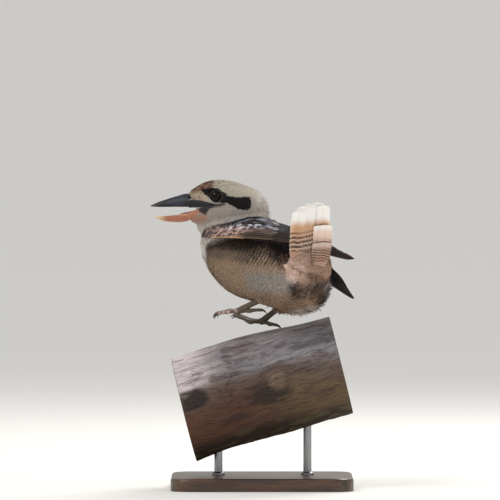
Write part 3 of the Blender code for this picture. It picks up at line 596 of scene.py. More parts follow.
@dataclass(frozen=True)
class BranchFinish:
    """Weathered wood: fine grain along the branch, and growth rings on its sawn ends."""

    growth_rings: float = 2100.0
    broad_rings: float = 430.0
    heart: float = 0.018
    bark: tuple[float, float] = (0.0525, 0.0560)

    def material(self) -> Material:
        """Three noises read along the marked grain darken and lighten the ground; rings are a
        sine of the distance from the branch's middle line, bent by noise.

        Returns:
            The material.
        """
        n = Nodes("weathered_branch")
        own = {"Vector": n.place(), "Location": PERCH_CENTRE, "Rotation": (0.0, -PERCH_SLOPE, 0.0)}
        warped = n.add("Mapping", own, vector_type="TEXTURE").outputs[0]
        grain = n.attribute("bars", "Vector")
        fine, wide = n.noise(grain, 1500.0, 3.0, 0.6), n.noise(grain, 420.0, 3.0, 0.6)
        hair = n.step(n.noise(grain, 760.0, 3.0, 0.6), 0.57, 0.66)
        bark = n.lit(n.attribute("ground"), n.plus(n.times(fine, 0.9), n.times(wide, 1.1)))
        bark = n.over(hair, 0.7, bark, (42, 35, 35))
        _, y, z = n.split(warped)
        off = n.math("SQRT", n.plus(n.times(y, y), n.times(z, z)))
        off = n.plus(off, n.times(n.noise(warped, 26.0, 2.0), 0.009))
        ring = n.step(n.math("SINE", n.times(off, self.growth_rings)), 0.0, 1.0)
        soft = n.step(n.math("SINE", n.times(off, self.broad_rings)), -0.4, 1.0)
        wood = n.over(ring, 0.45, tone((158, 128, 98)), (120, 90, 66))
        wood = n.over(soft, 0.45, wood, (116, 86, 64))
        wood = n.blend(n.step(off, *self.bark), wood, tone((88, 68, 56)))
        wood = n.over(n.step(off, self.heart, self.heart / 3), 0.5, wood, (104, 70, 50))
        pores = n.noise(warped, 900.0, 2.0, 0.6)
        wood = n.over(n.step(pores, 0.52, 0.72), 0.35, wood, (96, 70, 52))
        sawn, crack, _ = n.parts("vane")
        wood = n.over(crack, 0.85, wood, (44, 30, 22))
        return n.shade({
            "Base Color": n.blend(sawn, bark, wood), "Roughness": 0.84, "Specular IOR Level": 0.25,
            "Normal": n.bump(n.plus(fine, n.times(wide, 1.4)), 0.5, 0.0006)})


@dataclass(frozen=True)
class GrainFinish:
    """Stained wood of the stand's base: long grain with pores under a satin varnish."""

    dark: Rgb = (50, 32, 22)
    light: Rgb = (92, 62, 42)

    def material(self) -> Material:
        """Two stretched noises, one for the grain's bands and one for its pores."""
        n = Nodes("stand_walnut")
        bands = n.noise(n.mapped((6.0, 60.0, 60.0)), 2.0, 5.0, 0.65)
        pores = n.noise(n.mapped((40.0, 900.0, 900.0)), 1.0, 2.0, 0.5)
        colour = n.blend(n.step(bands, 0.35, 0.68), tone(self.dark), tone(self.light))
        colour = n.over(n.step(pores, 0.55, 0.75), 0.45, colour, (24, 14, 9))
        return n.shade({"Base Color": colour, "Roughness": 0.38, "Coat Weight": 0.25,
                        "Coat Roughness": 0.2, "Normal": n.bump(pores, 0.15, 0.0003)})


@dataclass(frozen=True)
class SteelFinish:
    """Brushed steel of the rods."""

    colour: Rgb = (150, 150, 152)

    def material(self) -> Material:
        """Fine rings of a noise that is stretched round the rod."""
        n = Nodes("rod_steel")
        rings = n.noise(n.mapped((20.0, 20.0, 4000.0)), 1.0, 2.0, 0.5)
        return n.shade({"Base Color": tone(self.colour), "Metallic": 1.0,
                        "Roughness": n.plus(n.times(rings, 0.2), 0.22),
                        "Normal": n.bump(rings, 0.1, 0.0001)})


def outline(*numbers: float) -> Array:
    """Corners of an outline in millimetres, from X and Z in turn."""
    return np.array(numbers, float).reshape(-1, 2)


MASK = outline(
    -69, 327.5, -64, 329.3, -57.5, 330.2, -50, 329.4, -43.5, 326.3, -39.6, 321.6, -28.6, 320.4,
    -15.4, 321, -13.8, 316, -14.6, 308.4, -18, 305.4, -24, 305.6, -28.6, 307.3, -35.2, 311,
    -40.2, 313.6, -46.8, 314.2, -53.9, 315.4, -58.3, 318.2, -62.5, 321.8, -66.5, 325)
BROW = outline(
    -79, 327, -74.5, 332.5, -66, 338, -58.5, 341, -54, 336.5, -54.5, 331.5, -57.4, 328.5,
    -62.9, 326, -68.5, 327.2, -74, 325.2)
CRESCENT = outline(-53, 314.9, -46, 313, -39.5, 313, -43, 311.6, -51, 312.8)
JAW = outline(
    -72.5, 306.4, -66, 309.4, -55, 310.9, -42.5, 313.4, -42.5, 311.4, -53, 309, -59, 306.5,
    -61.5, 303.2, -63, 300.2, -66.5, 301.4, -71, 303.8)
VENT = outline(
    31, 262, 29, 254, 22.5, 248, 18.5, 239.8, 20.5, 230.5, 27.5, 225, 40, 220.5, 52, 217.5,
    64, 220.5, 78, 226, 78, 248.6, 76, 262)
RING = outline(
    22, 232, 28, 227, 40, 223.5, 56, 222, 72, 225, 76, 216, 72, 203, 58, 200, 52, 210,
    43, 213.5, 28, 214, 19, 222)
THIGH = outline(-8, 226, 0, 222, 8, 212, 10, 202, 0, 204, -6, 212)
CHIN = outline(
    -80, 301, -71, 303, -66.5, 300.8, -61.5, 299.6, -60.5, 296, -66, 291.5, -73, 291.5, -80, 294)
GAPE_LINE = outline(-83, 308.6, -60, 309.6, -41, 313.4, -41, 314.2, -60, 311.2, -83, 310.4)


@dataclass(frozen=True)
class Markings:
    """The bird's colours by place, which skin and feathers share."""

    crown: Rgb = (206, 197, 180)
    cheek: Rgb = (193, 183, 176)
    throat: Rgb = (222, 215, 208)
    mask: Rgb = (22, 18, 18)
    rufous: Rgb = (134, 84, 56)
    buff: Rgb = (172, 148, 124)
    belly: Rgb = (170, 144, 120)
    # Dark brown of the flank under the wing: partly its own barring, partly painted shade from the
    # wing above.
    flank: Rgb = (64, 51, 41)
    pale: Rgb = (160, 154, 150)
    mantle: Rgb = (50, 40, 36)

    def over_neck(self, points: Array) -> Array:
        """How high points are over the sloping plane where the neck meets the body."""
        return points[:, 2] - (0.2885 + 0.34 * (points[:, 0] + 0.0305))

    def head(self, points: Array) -> Array:
        """Colours of the head: cream crown, rufous brow, dark mask, pale cheek, dark jaw.

        Args:
            points: Places on the skin.

        Returns:
            A colour for each.
        """
        x, z = points[:, 0] * 1000, points[:, 2] * 1000
        fine = lattice_noise(points, 0.0016, 3) - 0.5
        coarse = lattice_noise(points, 0.0045, 5) - 0.5
        streak = lattice_noise(points * [0.25, 1.0, 1.0], 0.0011, 9)
        speck = smooth(lattice_noise(points, 0.0010, 21), 0.62, 0.78)
        xs, zs = x + 1.2 * coarse, z + 1.2 * fine + 0.8 * coarse
        brow = patch(xs, zs, BROW, 2.2) * smooth(x, -50, -59)
        return layered(
            self.cheek,
            (self.crown, smooth(z, 310, 322)),
            (self.throat, smooth(z, 300, 290) * 0.7),
            (self.buff, window((x, -52, -66), (z, 322, 327)) * 0.6),
            ((140, 126, 112), window((z, 329, 335), (x, -16, -36), (streak, 0.45, 0.70)) * 0.7),
            (self.rufous, brow * (0.60 + 0.40 * smooth(streak, 0.35, 0.6))),
            ((62, 38, 26), brow * smooth(streak, 0.56, 0.66) * 0.8),
            ((72, 46, 34), brow * smooth(x, -66, -59) * 0.5),
            ((196, 172, 146), window((x, -58, -70), (z, 328, 323), (z, 312, 316)) * 0.7),
            ((86, 66, 50), window((x, -62, -70), (z, 312, 316)) * speck * 0.75),
            (self.mask, patch(xs, zs, MASK, 0.6)),
            ((188, 170, 152), patch(x, z, CRESCENT, 0.5) * 0.8),
            ((40, 36, 37), patch(xs, zs, JAW, 1.3) * 0.93),
            ((190, 138, 110), patch(x, zs, CHIN, 3.5) * 0.8),
            ((24, 18, 17), patch(x, z, GAPE_LINE, 0.7) * smooth(x, -40, -44)),
            ((238, 232, 222), window((x, -14, -2), (z, 304, 314)) * 0.8))

    def body(self, points: Array) -> Array:
        """Colours of the body: white breast, a dark flank under the wing that is partly its own brown
        barring and partly painted shade, buff belly, dark back, pinkish vent.

        Args:
            points: Places on the skin.

        Returns:
            A colour for each.
        """
        ahead, left, above = in_bird(points)
        out, x, z = np.abs(left), points[:, 0] * 1000, points[:, 2] * 1000
        wave = lattice_noise(points, 0.008, 31) - 0.5
        side, _, height = (bird(ahead, out, above) * 1000).T
        # Above this edge the flank is dark, and just below it the belly is darker: partly the flank's
        # own brown, partly painted shade under the wing.
        edge = through([-60, -44, -22, -5, 5, 12, 28, 40],
                       [262, 262, 259, 265, 264, 257, 249, 249], side)
        fall = height - edge + 4 * wave
        belly = layered((126, 108, 94), (self.belly, smooth(fall, -4, -14)))
        back = window((above, 0.019, 0.027), (ahead, 0.056, 0.040), (out, 0.042, 0.032))
        along, aside = in_tail(points)
        deep, near = (points - TAIL_ROOT) @ TAIL_UNDER, smooth(left, -0.034, -0.020)
        soft = lattice_noise(points, 0.010, 43) - 0.5
        fluffy = layered(
            (216, 188, 174), ((182, 148, 128), smooth(soft + 0.020 * (x - 46), -0.25, 0.25)),
            ((186, 152, 134), smooth(along, 0.008, 0.030) * 0.8))
        vent = patch(x + 3 * wave, z + 3 * wave, VENT, 1.8) * near
        cone = window((along, -0.006, 0.006), (aside, 0.033, 0.029))
        blotch = smooth(rough_noise(points * [0.6, 0.6, 1.0], 0.0060, 2, 41), 0.30, 0.62)
        ring = patch(x + 4 * wave, z + 6.0 + 3 * wave, RING, 3.0) * near
        tuft = window((x + 6 * wave, 65.5, 71), (z, 222, 214))
        tuft = np.maximum(tuft, 0.45 * window((z, 201, 196), (x, 20, 35)))
        middle = window((out, 0.014, 0.003), (above, 0.004, -0.010), (ahead, -0.030, 0))
        grey = window((above, -0.002, -0.016), (ahead, 0.006, -0.018), (above, -0.040, -0.026))
        return layered(
            self.flank,
            (belly, smooth(fall, 7, -1)),
            # Painted shadow: near black under the rear of the wing, beside the tail.
            ((30, 26, 25), window((side, 0, 14), (height, 250, 257)) * 0.9),
            ((112, 86, 70), patch(side, height + 4 * wave, THIGH, 3.0) * 0.6),
            (self.pale, grey * 0.85),
            ((154, 126, 104), window((above, -0.024, -0.040), (ahead, 0.010, -0.010)) * 0.8),
            ((244, 240, 234), smooth(ahead + 0.30 * above, 0.0560, 0.0640)),
            (self.throat, middle * 0.4),
            (self.mantle, back),
            ((140, 112, 90), smooth(ahead, -0.045, -0.066) * back * 0.7),
            (fluffy, np.maximum(vent, cone * smooth(deep, -0.004, 0.001))),
            ((84, 64, 52), cone * smooth(deep, 0.001, -0.004)),
            ((52, 41, 35), ring * (0.50 + 0.46 * blotch)),
            ((240, 236, 234), tuft * 0.92))

    def ground(self, points: Array) -> Array:
        """Colours anywhere on the flesh: head over neck over body, with soft joins."""
        over, x = self.over_neck(points), points[:, 0]
        neck = layered(
            self.throat, ((214, 206, 194), smooth(x, -0.050, -0.010)),
            (self.mantle, window((x, -0.012, 0.010), (over, 0.004, -0.012)) * 0.8))
        return layered(self.body(points), (neck, smooth(over, -0.012, -0.002)),
                       (self.head(points), smooth(over, 0.002, 0.010)))

    def bars(self, points: Array) -> Array:
        """Where in the run of fine bars a place is, how dark they are, and how strong fringes are.

        Args:
            points: Places on the skin.

        Returns:
            Three numbers for each.
        """
        ahead, left, above = in_bird(points)
        side, _, height = (bird(ahead, np.abs(left), above) * 1000).T
        on_body = smooth(self.over_neck(points), -0.004, -0.016)
        flank = window((height, 244, 252), (side, -42, -12))
        along, aside = in_tail(points)
        clear = 1 - window((along, -0.012, 0), (aside, 0.038, 0.030))
        strength = on_body * (0.16 + 0.74 * flank) * smooth(ahead, -0.066, -0.056) * clear
        phase = (0.86 * side - 0.50 * height) / 3.4
        return np.stack([phase, strength, 0.12 + 0.18 * on_body], axis=1)


MARKS = Markings()


@dataclass
class Surface:
    """A closed skin that feathers stand on, asked for its nearest places."""

    points: Array
    faces: Array

    def __post_init__(self) -> None:
        """Works out normals and the search tree."""
        self.normals = vertex_normals(self.points, self.faces)
        self.tree = BVHTree.FromPolygons(self.points.tolist(), self.faces.tolist())

    def nearest(self, asked: Array) -> tuple[Array, Array]:
        """The nearest places of the skin to points.

        Args:
            asked: Points, one row each.

        Returns:
            The places, and the skin's smoothed normals there.
        """
        found = [self.tree.find_nearest(p) for p in asked.tolist()]
        place = np.array([f[0] for f in found])
        face = self.faces[[f[2] for f in found]]
        weight = 1 / (np.linalg.norm(self.points[face] - place[:, None], axis=2) + 1e-5) ** 2
        return place, unit((self.normals[face] * weight[..., None]).sum(axis=1))


def vertex_normals(points: Array, faces: Array) -> Array:
    """Normals of the points of a mesh: the sum of its faces' own, at length one."""
    p = points[faces]
    face = np.cross(p[:, 2] - p[:, 0], p[:, 3 % p.shape[1]] - p[:, 1])
    total = np.zeros_like(points)
    for k in range(faces.shape[1]):
        np.add.at(total, faces[:, k], face)
    return unit(total)


def relaxed(points: Array, faces: Array, rounds: int) -> Array:
    """Smooths a mesh by moving points towards their neighbours' mean and back, rounds times.

    Args:
        points: Points of the mesh.
        faces: Its faces, all of one size.
        rounds: How many times.

    Returns:
        The moved points.
    """
    edges = np.concatenate([faces[:, [k, (k + 1) % faces.shape[1]]] for k in range(faces.shape[1])])
    edges = np.unique(np.sort(edges, axis=1), axis=0)
    degree = np.bincount(edges.ravel(), minlength=len(points))[:, None]
    for _ in range(rounds):
        for step in (0.55, -0.57):
            total = np.zeros_like(points)
            np.add.at(total, edges[:, 0], points[edges[:, 1]])
            np.add.at(total, edges[:, 1], points[edges[:, 0]])
            points = points + step * (total / np.maximum(degree, 1) - points)
    return points


def fanned(rings: Array) -> tuple[Array, Array]:
    """A closed tube as points and triangles, its ends fanned from their middles, facing out."""
    points = np.concatenate([rings.reshape(-1, 3), rings[[0, -1]].mean(axis=1)])
    a = np.arange(len(points) - 2).reshape(rings.shape[:2])
    n = np.roll(a, -1, axis=1)
    first, last = np.full((2, len(a[0])), [[a.size], [a.size + 1]])
    sets = ((a[:-1], a[1:], n[1:]), (a[:-1], n[1:], n[:-1]), (first, a[0], n[0]),
            (last, n[-1], a[-1]))
    corners = np.concatenate([np.stack(three, -1).reshape(-1) for three in sets])
    return points, turned_out(points, corners, np.full(len(corners) // 3, 3)).reshape(-1, 3)


@dataclass(frozen=True)
class Flesh:
    """Head, neck, body and thighs as one skin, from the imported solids, smoothed."""

    nodes: tuple[str, ...] = ("head", "neck", "torso", "thigh_left", "thigh_right")
    swell: float = 0.0005
    voxel: float = 0.0014
    rounds: int = 7
    throat_at: tuple[float, float] = (-0.0632, 0.2880)
    throat_size: tuple[float, float, float] = (0.0085, 0.0090, 0.0095)

    def outer(self, added: Sequence[Array]) -> Surface:
        """The surface that the coat's tips reach: the solids joined and smoothed.

        Args:
            added: Rings of more closed tubes that join them.

        Returns:
            The surface.
        """
        shells = [fanned(rings) for rings in added]
        for name in self.nodes:
            p, f = solid(name)
            _, first, index = np.unique(
                np.round(p, 6), axis=0, return_index=True, return_inverse=True)
            p, f = p[first], index.reshape(-1)[f]
            f = f[(f[:, 0] != f[:, 1]) & (f[:, 1] != f[:, 2]) & (f[:, 2] != f[:, 0])]
            shells.append((p + self.swell * vertex_normals(p, f), f))
        starts = np.cumsum([0] + [len(p) for p, _ in shells])
        faces = np.concatenate([f + start for (_, f), start in zip(shells, starts)])
        mesh = bpy.data.meshes.new("flesh_solids")
        mesh.from_pydata(np.concatenate([p for p, _ in shells]).tolist(), [], faces.tolist())
        obj = bpy.data.objects.new("flesh_solids", mesh)
        bpy.context.scene.collection.objects.link(obj)
        remesh = obj.modifiers.new("remesh", "REMESH")
        remesh.mode, remesh.voxel_size = "VOXEL", self.voxel
        graph = bpy.context.evaluated_depsgraph_get()
        made = bpy.data.meshes.new_from_object(obj.evaluated_get(graph))
        points = read(made.vertices, "co", float, 3).reshape(-1, 3)
        quads = read(made.loops, "vertex_index", np.int32).reshape(-1, 4)
        bpy.data.objects.remove(obj, do_unlink=True)
        bpy.data.meshes.remove(made)
        return Surface(relaxed(points, quads, self.rounds), quads)

    def throat(self) -> Array:
        """Rings of an ellipsoid that rounds out the feathered throat under the chin."""
        turn, v = np.linspace(0.05, math.pi - 0.05, 14)[:, None], angles(24)
        (x, z), (deep, wide, tall) = self.throat_at, self.throat_size
        return np.stack([
            x + deep * np.sin(turn) * np.cos(v), HEAD_PLANE_Y + wide * np.sin(turn) * np.sin(v),
            z + tall * np.cos(turn) + 0.0 * v], axis=-1)

    def coat_depth(self, points: Array) -> Array:
        """How thick the coat is: thin at the bill and face, thicker on the body."""
        head = 0.0013 - 0.0008 * smooth(points[:, 0], -0.045, -0.075)
        return between(0.0026, head, smooth(MARKS.over_neck(points), -0.006, 0.010))

    def build(self, outer: Surface) -> Object:
        """The skin: the outer surface moved in by the coat's depth, marked as the coat is but at 0.8
        of its colours, painted shade where it shows between the feathers.
        """
        points = outer.points - self.coat_depth(outer.points)[:, None] * outer.normals
        finish = GroundFinish("feather_skin", 0.85, 900.0, 0.25).material()
        # Painted shade: the skin takes the coat's colours at 0.8, darker between the feathers.
        skin = put_mesh("skin", points, outer.faces.reshape(-1), np.full(len(outer.faces), 4), finish,
                        {"ground": MARKS.ground(outer.points) * 0.8})
        return dressed(skin, "pale_plumage", *self.nodes)


def vane_faces(rows: int, columns: int) -> tuple[Array, Array, Array]:
    """Faces of one thin feather: quads above, and one face below round its rim.

    Args:
        rows: Rows of points along it.
        columns: Points across it.

    Returns:
        Corners, sizes, and True for the face below, which is shaded flat.
    """
    a = np.arange(rows * columns).reshape(rows, columns)
    quads = np.stack([a[:-1, :-1], a[:-1, 1:], a[1:, 1:], a[1:, :-1]], axis=-1).reshape(-1)
    rim = np.concatenate([a[0], a[1:, -1], a[-1, -2::-1], a[-2:0:-1, 0]])[::-1]
    sizes = np.array([4] * ((rows - 1) * (columns - 1)) + [len(rim)])
    return np.concatenate([quads, rim]), sizes, sizes != 4


def vane_marks(a: Array, s: Array, chance: Array, shape: Sequence[int]) -> Array:
    """Place across, place along and chance of every point of feathers of that shape."""
    return np.stack([spread(v, shape) for v in (a, s[:, None], chance[:, None, None])], axis=-1)


def lie_of(points: Array) -> Array:
    """Which way feathers point: back over the head, down the neck, back and down the body.

    Args:
        points: Places on the coat.

    Returns:
        Directions at length one, not yet laid on the surface.
    """
    over, count = MARKS.over_neck(points), len(points)
    fall = -0.12 - 0.5 * smooth(points[:, 2], 0.306, 0.294)
    head_way = np.stack([np.ones(count), np.zeros(count), fall], 1)
    neck_way = 0.55 * np.array([1.0, 0, 0]) - 0.2 * FORWARD - 0.75 * UP
    way = lerp(spread(-FORWARD - 0.32 * UP, points.shape), neck_way, smooth(over, -0.020, -0.004))
    way = lerp(way, head_way, smooth(over, -0.002, 0.014))
    for hip, heel, *_ in LEGS.values():
        t = np.clip((points - hip) @ (heel - hip) / ((heel - hip) ** 2).sum(), 0.0, 1.0)
        aside = np.linalg.norm(points - hip - t[:, None] * (heel - hip), axis=1)
        way = lerp(way, unit(heel - hip), window((aside, 0.016, 0.009), (t, 0.05, 0.35)))
    along, aside = in_tail(points)
    return unit(lerp(way, TAIL_WAY, window((along, -0.026, -0.006), (aside, 0.040, 0.028))))


@dataclass(frozen=True)
class CoatZone:
    """How feathers grow on one part: spacing, rows, width, and how far they stray and stand."""

    name: str
    spacing: float
    rows: int
    width: float
    fray: float
    lift_chance: float
    reach: float = 1.0
    stand: float = 0.0


FACE = CoatZone("face", 0.00075, 4, 0.16, 0.3, 0.20)
CROWN = CoatZone("crown", 0.00095, 4, 0.13, 0.5, 0.20)
NECK = CoatZone("neck", 0.00125, 4, 0.13, 0.6, 0.25)
BODY = CoatZone("body", 0.00140, 5, 0.105, 0.7, 0.25)
UNDER_TAIL = CoatZone("under_tail", 0.00165, 5, 0.15, 0.4, 0.06)
WISP = CoatZone("wisps", 0.00190, 7, 0.022, 0.4, 0.60, 1.10, 0.0048)


@dataclass(frozen=True)
class Coat:
    """All small feathers of head, neck and body, in pieces by zone and side."""

    outer: Surface
    flesh: Flesh
    bill_tree: BVHTree
    eye_clear: float = 0.0068
    eye_beside: float = 0.012
    bill_clear: float = 0.0011
    fluff_stand: float = 0.0036
    nape_stand: float = 0.0016
    columns: int = 3
    camber: float = 0.22

    def scatter(self, spacing: float, rng: Random) -> tuple[Array, Array]:
        """Evenly spread places on the skin.

        Args:
            spacing: About how far apart they are.
            rng: The seeded source of chance.

        Returns:
            Places and normals: random ones by area, one kept in each small cube.
        """
        f, p = self.outer.faces, self.outer.points
        across = np.cross(p[f[:, 2]] - p[f[:, 0]], p[f[:, 3]] - p[f[:, 1]])
        area = 0.5 * np.linalg.norm(across, axis=1)
        wanted = int(area.sum() / spacing**2 * 4)
        pick = np.searchsorted(np.cumsum(area) / area.sum(), rng.random(wanted))
        a, b, c, d = f[np.clip(pick, 0, len(f) - 1)].T
        s, t = rng.random((2, wanted, 1))
        place, normal = ((v[a] * (1 - s) + v[b] * s) * (1 - t) + (v[d] * (1 - s) + v[c] * s) * t
                         for v in (p, self.outer.normals))
        cell = np.floor(place / spacing).astype(np.int64)
        first = np.sort(np.unique(cell, axis=0, return_index=True)[1])
        return place[first], unit(normal[first])

    def on_bill_root(self, points: Array) -> Array:
        """Which places on the cheeks lie under the horn at the bill's root."""
        x, z = points[:, 0] * 1000, points[:, 2] * 1000
        covered = np.zeros(len(points), bool)
        for low, high in (Bill.ROOT, Bill.JAW):
            covered |= patch(x, z, 1000 * np.array([*low, *high[::-1]]), 0.3) > 0.5
        return covered & (np.abs(points[:, 1] - HEAD_PLANE_Y) > 0.007)

    def length(self, points: Array) -> Array:
        """Feather length by place: shortest at the bill, longest on the belly and vent."""
        over, x = MARKS.over_neck(points), points[:, 0]
        head = through([-0.085, -0.070, -0.050, -0.020, 0.0],
                       [0.0014, 0.0024, 0.0036, 0.0052, 0.0066], x)
        ahead, _, above = in_bird(points)
        body = 0.0105 + 0.003 * smooth(above, -0.010, -0.035) + 0.002 * smooth(ahead, -0.02, -0.06)
        body = between(body, 0.0075, smooth(over, -0.018, -0.006))
        body = body + 0.0040 * window((above, -0.026, -0.040), (x, 0.020, 0.055))
        return between(body, head, smooth(over, -0.002, 0.010))

    def grown(self, zone: CoatZone, roots: Array, normals: Array, rng: Random) -> tuple[Array, Array]:
        """Lays feathers along the skin from their roots.

        Each midline leaves its root along the lie of the coat, is dropped on the nearest
        place of the surface at every row, and rises from the skin to the coat's full depth.
        The point at column a is the midline's, plus a times the half width across, plus a
        camber of 1 - a^2 out; the last row is drawn back by a^2 and chance, so tips fray.

        Args:
            zone: The zone's sizes.
            roots: Where feathers stand.
            normals: The skin's normals there.
            rng: The seeded source of chance.

        Returns:
            Points as feathers by rows by columns, and a number from 0 to 1 for each feather.
        """
        count = len(roots)
        way = lie_of(roots)
        way = way - (way * normals).sum(1, keepdims=True) * normals
        way = unit(unit(way) + 0.4 * zone.lift_chance * rng.normal(size=(count, 3)))
        length = self.length(roots) * rng.uniform(0.82, 1.15, count) * zone.reach
        depth = self.flesh.coat_depth(roots) * rng.uniform(0.9, 1.1, count)
        s = np.linspace(0.0, 1.0, zone.rows)
        middle, normal = np.empty((2, count, zone.rows, 3))
        here, facing = roots, normals
        for k in range(zone.rows):
            if k:
                laid = unit(way - (way * facing).sum(1, keepdims=True) * facing)
                here, facing = self.outer.nearest(here + laid * (length * (s[k] - s[k - 1]))[:, None])
            middle[:, k], normal[:, k] = here, facing
        loose = zone.lift_chance * rng.random(count)
        fluff = window((in_bird(roots)[2], -0.028, -0.040), (roots[:, 0], 0.015, 0.040))
        nape = window((roots[:, 0], -0.010, -0.002), (roots[:, 2], 0.300, 0.316))
        stand = self.fluff_stand * fluff * rng.random(count) ** 2
        stand = stand + self.nape_stand * nape * rng.random(count) ** 2
        stand = stand + zone.stand * rng.random(count)
        rise = (s**0.8 - 1.05) * depth[:, None] + s**2 * (depth * loose + stand)[:, None]
        middle = middle + rise[..., None] * normal
        shape = np.interp(s, [0, 0.3, 0.7, 1.0], [0.35, 0.85, 1.0, 0.55])
        half = (length * zone.width)[:, None] * shape * rng.uniform(0.85, 1.2, (count, 1))
        half, chance = half[..., None, None], rng.random(count)
        a = np.linspace(-1.0, 1.0, self.columns)
        across = unit(np.cross(unit(np.gradient(middle, axis=1)), normal))
        place = middle[:, :, None] + across[:, :, None] * (a[:, None] * half)
        place = place + normal[:, :, None] * (self.camber * (1 - a**2)[:, None] * half)
        fray = 0.45 * a**2 + zone.fray * rng.random((count, self.columns))
        place[:, -1] += (place[:, -2] - place[:, -1]) * np.clip(fray, 0, 0.9)[..., None]
        return self.clear_of_eye(place), chance

    def clear_of_eye(self, place: Array) -> Array:
        """Feather points moved out of the round opening of the eye, along its radius."""
        offset = place[..., [0, 2]] - EYE_AT[[0, 2]]
        far = np.linalg.norm(offset, axis=-1, keepdims=True)
        beside = np.abs(place[..., 1:2] - HEAD_PLANE_Y) > self.eye_beside
        push = np.where((far < self.eye_clear) & beside, self.eye_clear / np.maximum(far, 1e-6), 1.0)
        place[..., [0, 2]] = EYE_AT[[0, 2]] + offset * push
        return place

    def bake_places(self, zone: CoatZone, roots: Array) -> Array:
        """Places of the roots on an unwrap of the skin: the angle round the long axis of head or
        body, and the place along it."""
        ahead, left, above = in_bird(roots)
        turn, along = np.arctan2(above, left), (ahead + 0.095) / 0.17
        if zone in (FACE, CROWN):
            turn = np.arctan2(roots[:, 2] - 0.3090, roots[:, 1] - HEAD_PLANE_Y)
            along = (roots[:, 0] + 0.090) / 0.100
        return 0.004 + 0.992 * np.stack([turn / (2 * math.pi) + 0.5, np.clip(along, 0, 1)], axis=1)

    def piece(self, name: str, zone: CoatZone, roots: Array, normals: Array, finish: Material,
              rng: Random) -> None:
        """Makes one coat piece of many feathers.

        Args:
            name: The piece's name.
            zone: The zone's sizes.
            roots: Where its feathers stand.
            normals: The skin's normals there.
            finish: Its material.
            rng: The seeded source of chance.
        """
        place, chance = self.grown(zone, roots, normals, rng)
        shape = place.shape[:3]
        each = zone.rows * self.columns
        corners, sizes, flat = vane_faces(zone.rows, self.columns)
        corners, sizes = repeated(corners, sizes, each, len(roots))
        a, s = np.linspace(-1, 1, self.columns), np.linspace(0, 1, zone.rows)
        seen = roots + 0.35 * (place[:, -1].mean(axis=1) - roots)
        ground = MARKS.ground(seen) * rng.uniform(0.90, 1.08, (len(roots), 1))
        fringe = np.minimum(ground * 1.45 + 0.01, 0.92)
        bars = np.repeat(MARKS.bars(seen), each, axis=0)
        bars[:, 0] = MARKS.bars(place.reshape(-1, 3))[:, 0]
        tuft = np.stack([spread(a, shape), spread(2 * s[:, None] - 1, shape)], axis=-1)
        bake_map = self.bake_places(zone, roots)[:, None, None] + 0.0015 * tuft
        marks = {"ground": np.repeat(ground, each, axis=0), "fringe": np.repeat(fringe, each, axis=0),
                 "vane": vane_marks(a, s, chance, shape), "bars": bars}
        dressed(put_mesh(name, place.reshape(-1, 3), corners, sizes, finish, marks,
                         np.tile(flat, len(roots)), bake_map.reshape(-1, 2)), "pale_plumage")

    def chosen(self, zone: CoatZone, roots: Array) -> Array:
        """Which places a zone's feathers grow on: its own part, clear of eye and bill.

        Args:
            zone: The zone.
            roots: Places on the skin.

        Returns:
            True for each place that is the zone's.
        """
        over, (x, y, z) = MARKS.over_neck(roots), roots.T
        above = in_bird(roots)[2]
        rear = (over <= -0.012) & (in_tail(roots)[0] > -0.012) & (x > 0.018)
        belly = ((above < -0.036) & (x > 0.012)) | ((x > 0.056) & (above < -0.022))
        belongs = {
            FACE: (over > 0.003) & (x < -0.058),
            CROWN: (over > 0.003) & (x >= -0.062),
            NECK: (over > -0.016) & (over < 0.006),
            BODY: (over <= -0.012) & ~rear,
            UNDER_TAIL: rear,
            WISP: belly | ((x > -0.008) & (z > 0.296) & (z < 0.322)),
        }[zone]
        eye = np.linalg.norm(roots[:, [0, 2]] - EYE_AT[[0, 2]], axis=1) < self.eye_clear
        belongs &= ~(eye & (np.abs(y - HEAD_PLANE_Y) > self.eye_beside))
        if zone in (FACE, CROWN):
            near = [self.bill_tree.find_nearest(p, self.bill_clear)[0] is not None
                    for p in roots.tolist()]
            belongs &= ~np.array(near) & ~self.on_bill_root(roots)
        return belongs

    def build(self) -> None:
        """Every coat piece of head, neck and body."""
        finish = PlumageFinish("body_feather").material()
        for number, zone in enumerate((FACE, CROWN, NECK, BODY, UNDER_TAIL, WISP)):
            rng = np.random.default_rng(SEED + number)
            roots, normals = self.scatter(zone.spacing, rng)
            belongs = self.chosen(zone, roots)
            roots, normals = roots[belongs], normals[belongs]
            parts = {"": np.ones(len(roots), bool)}
            if zone is CROWN:
                parts = {"_left": roots[:, 1] < HEAD_PLANE_Y, "_right": roots[:, 1] >= HEAD_PLANE_Y}
            if zone is BODY:
                ahead, left, above = in_bird(roots)
                low, near, front = above <= 0.012, left > 0, ahead > 0.005
                parts = {"_back": ~low, "_breast_left": low & near & front,
                         "_breast_right": low & ~near & front, "_vent_left": low & near & ~front,
                         "_vent_right": low & ~near & ~front}
            for ending, part in parts.items():
                self.piece(f"coat_{zone.name}{ending}", zone, roots[part], normals[part], finish, rng)


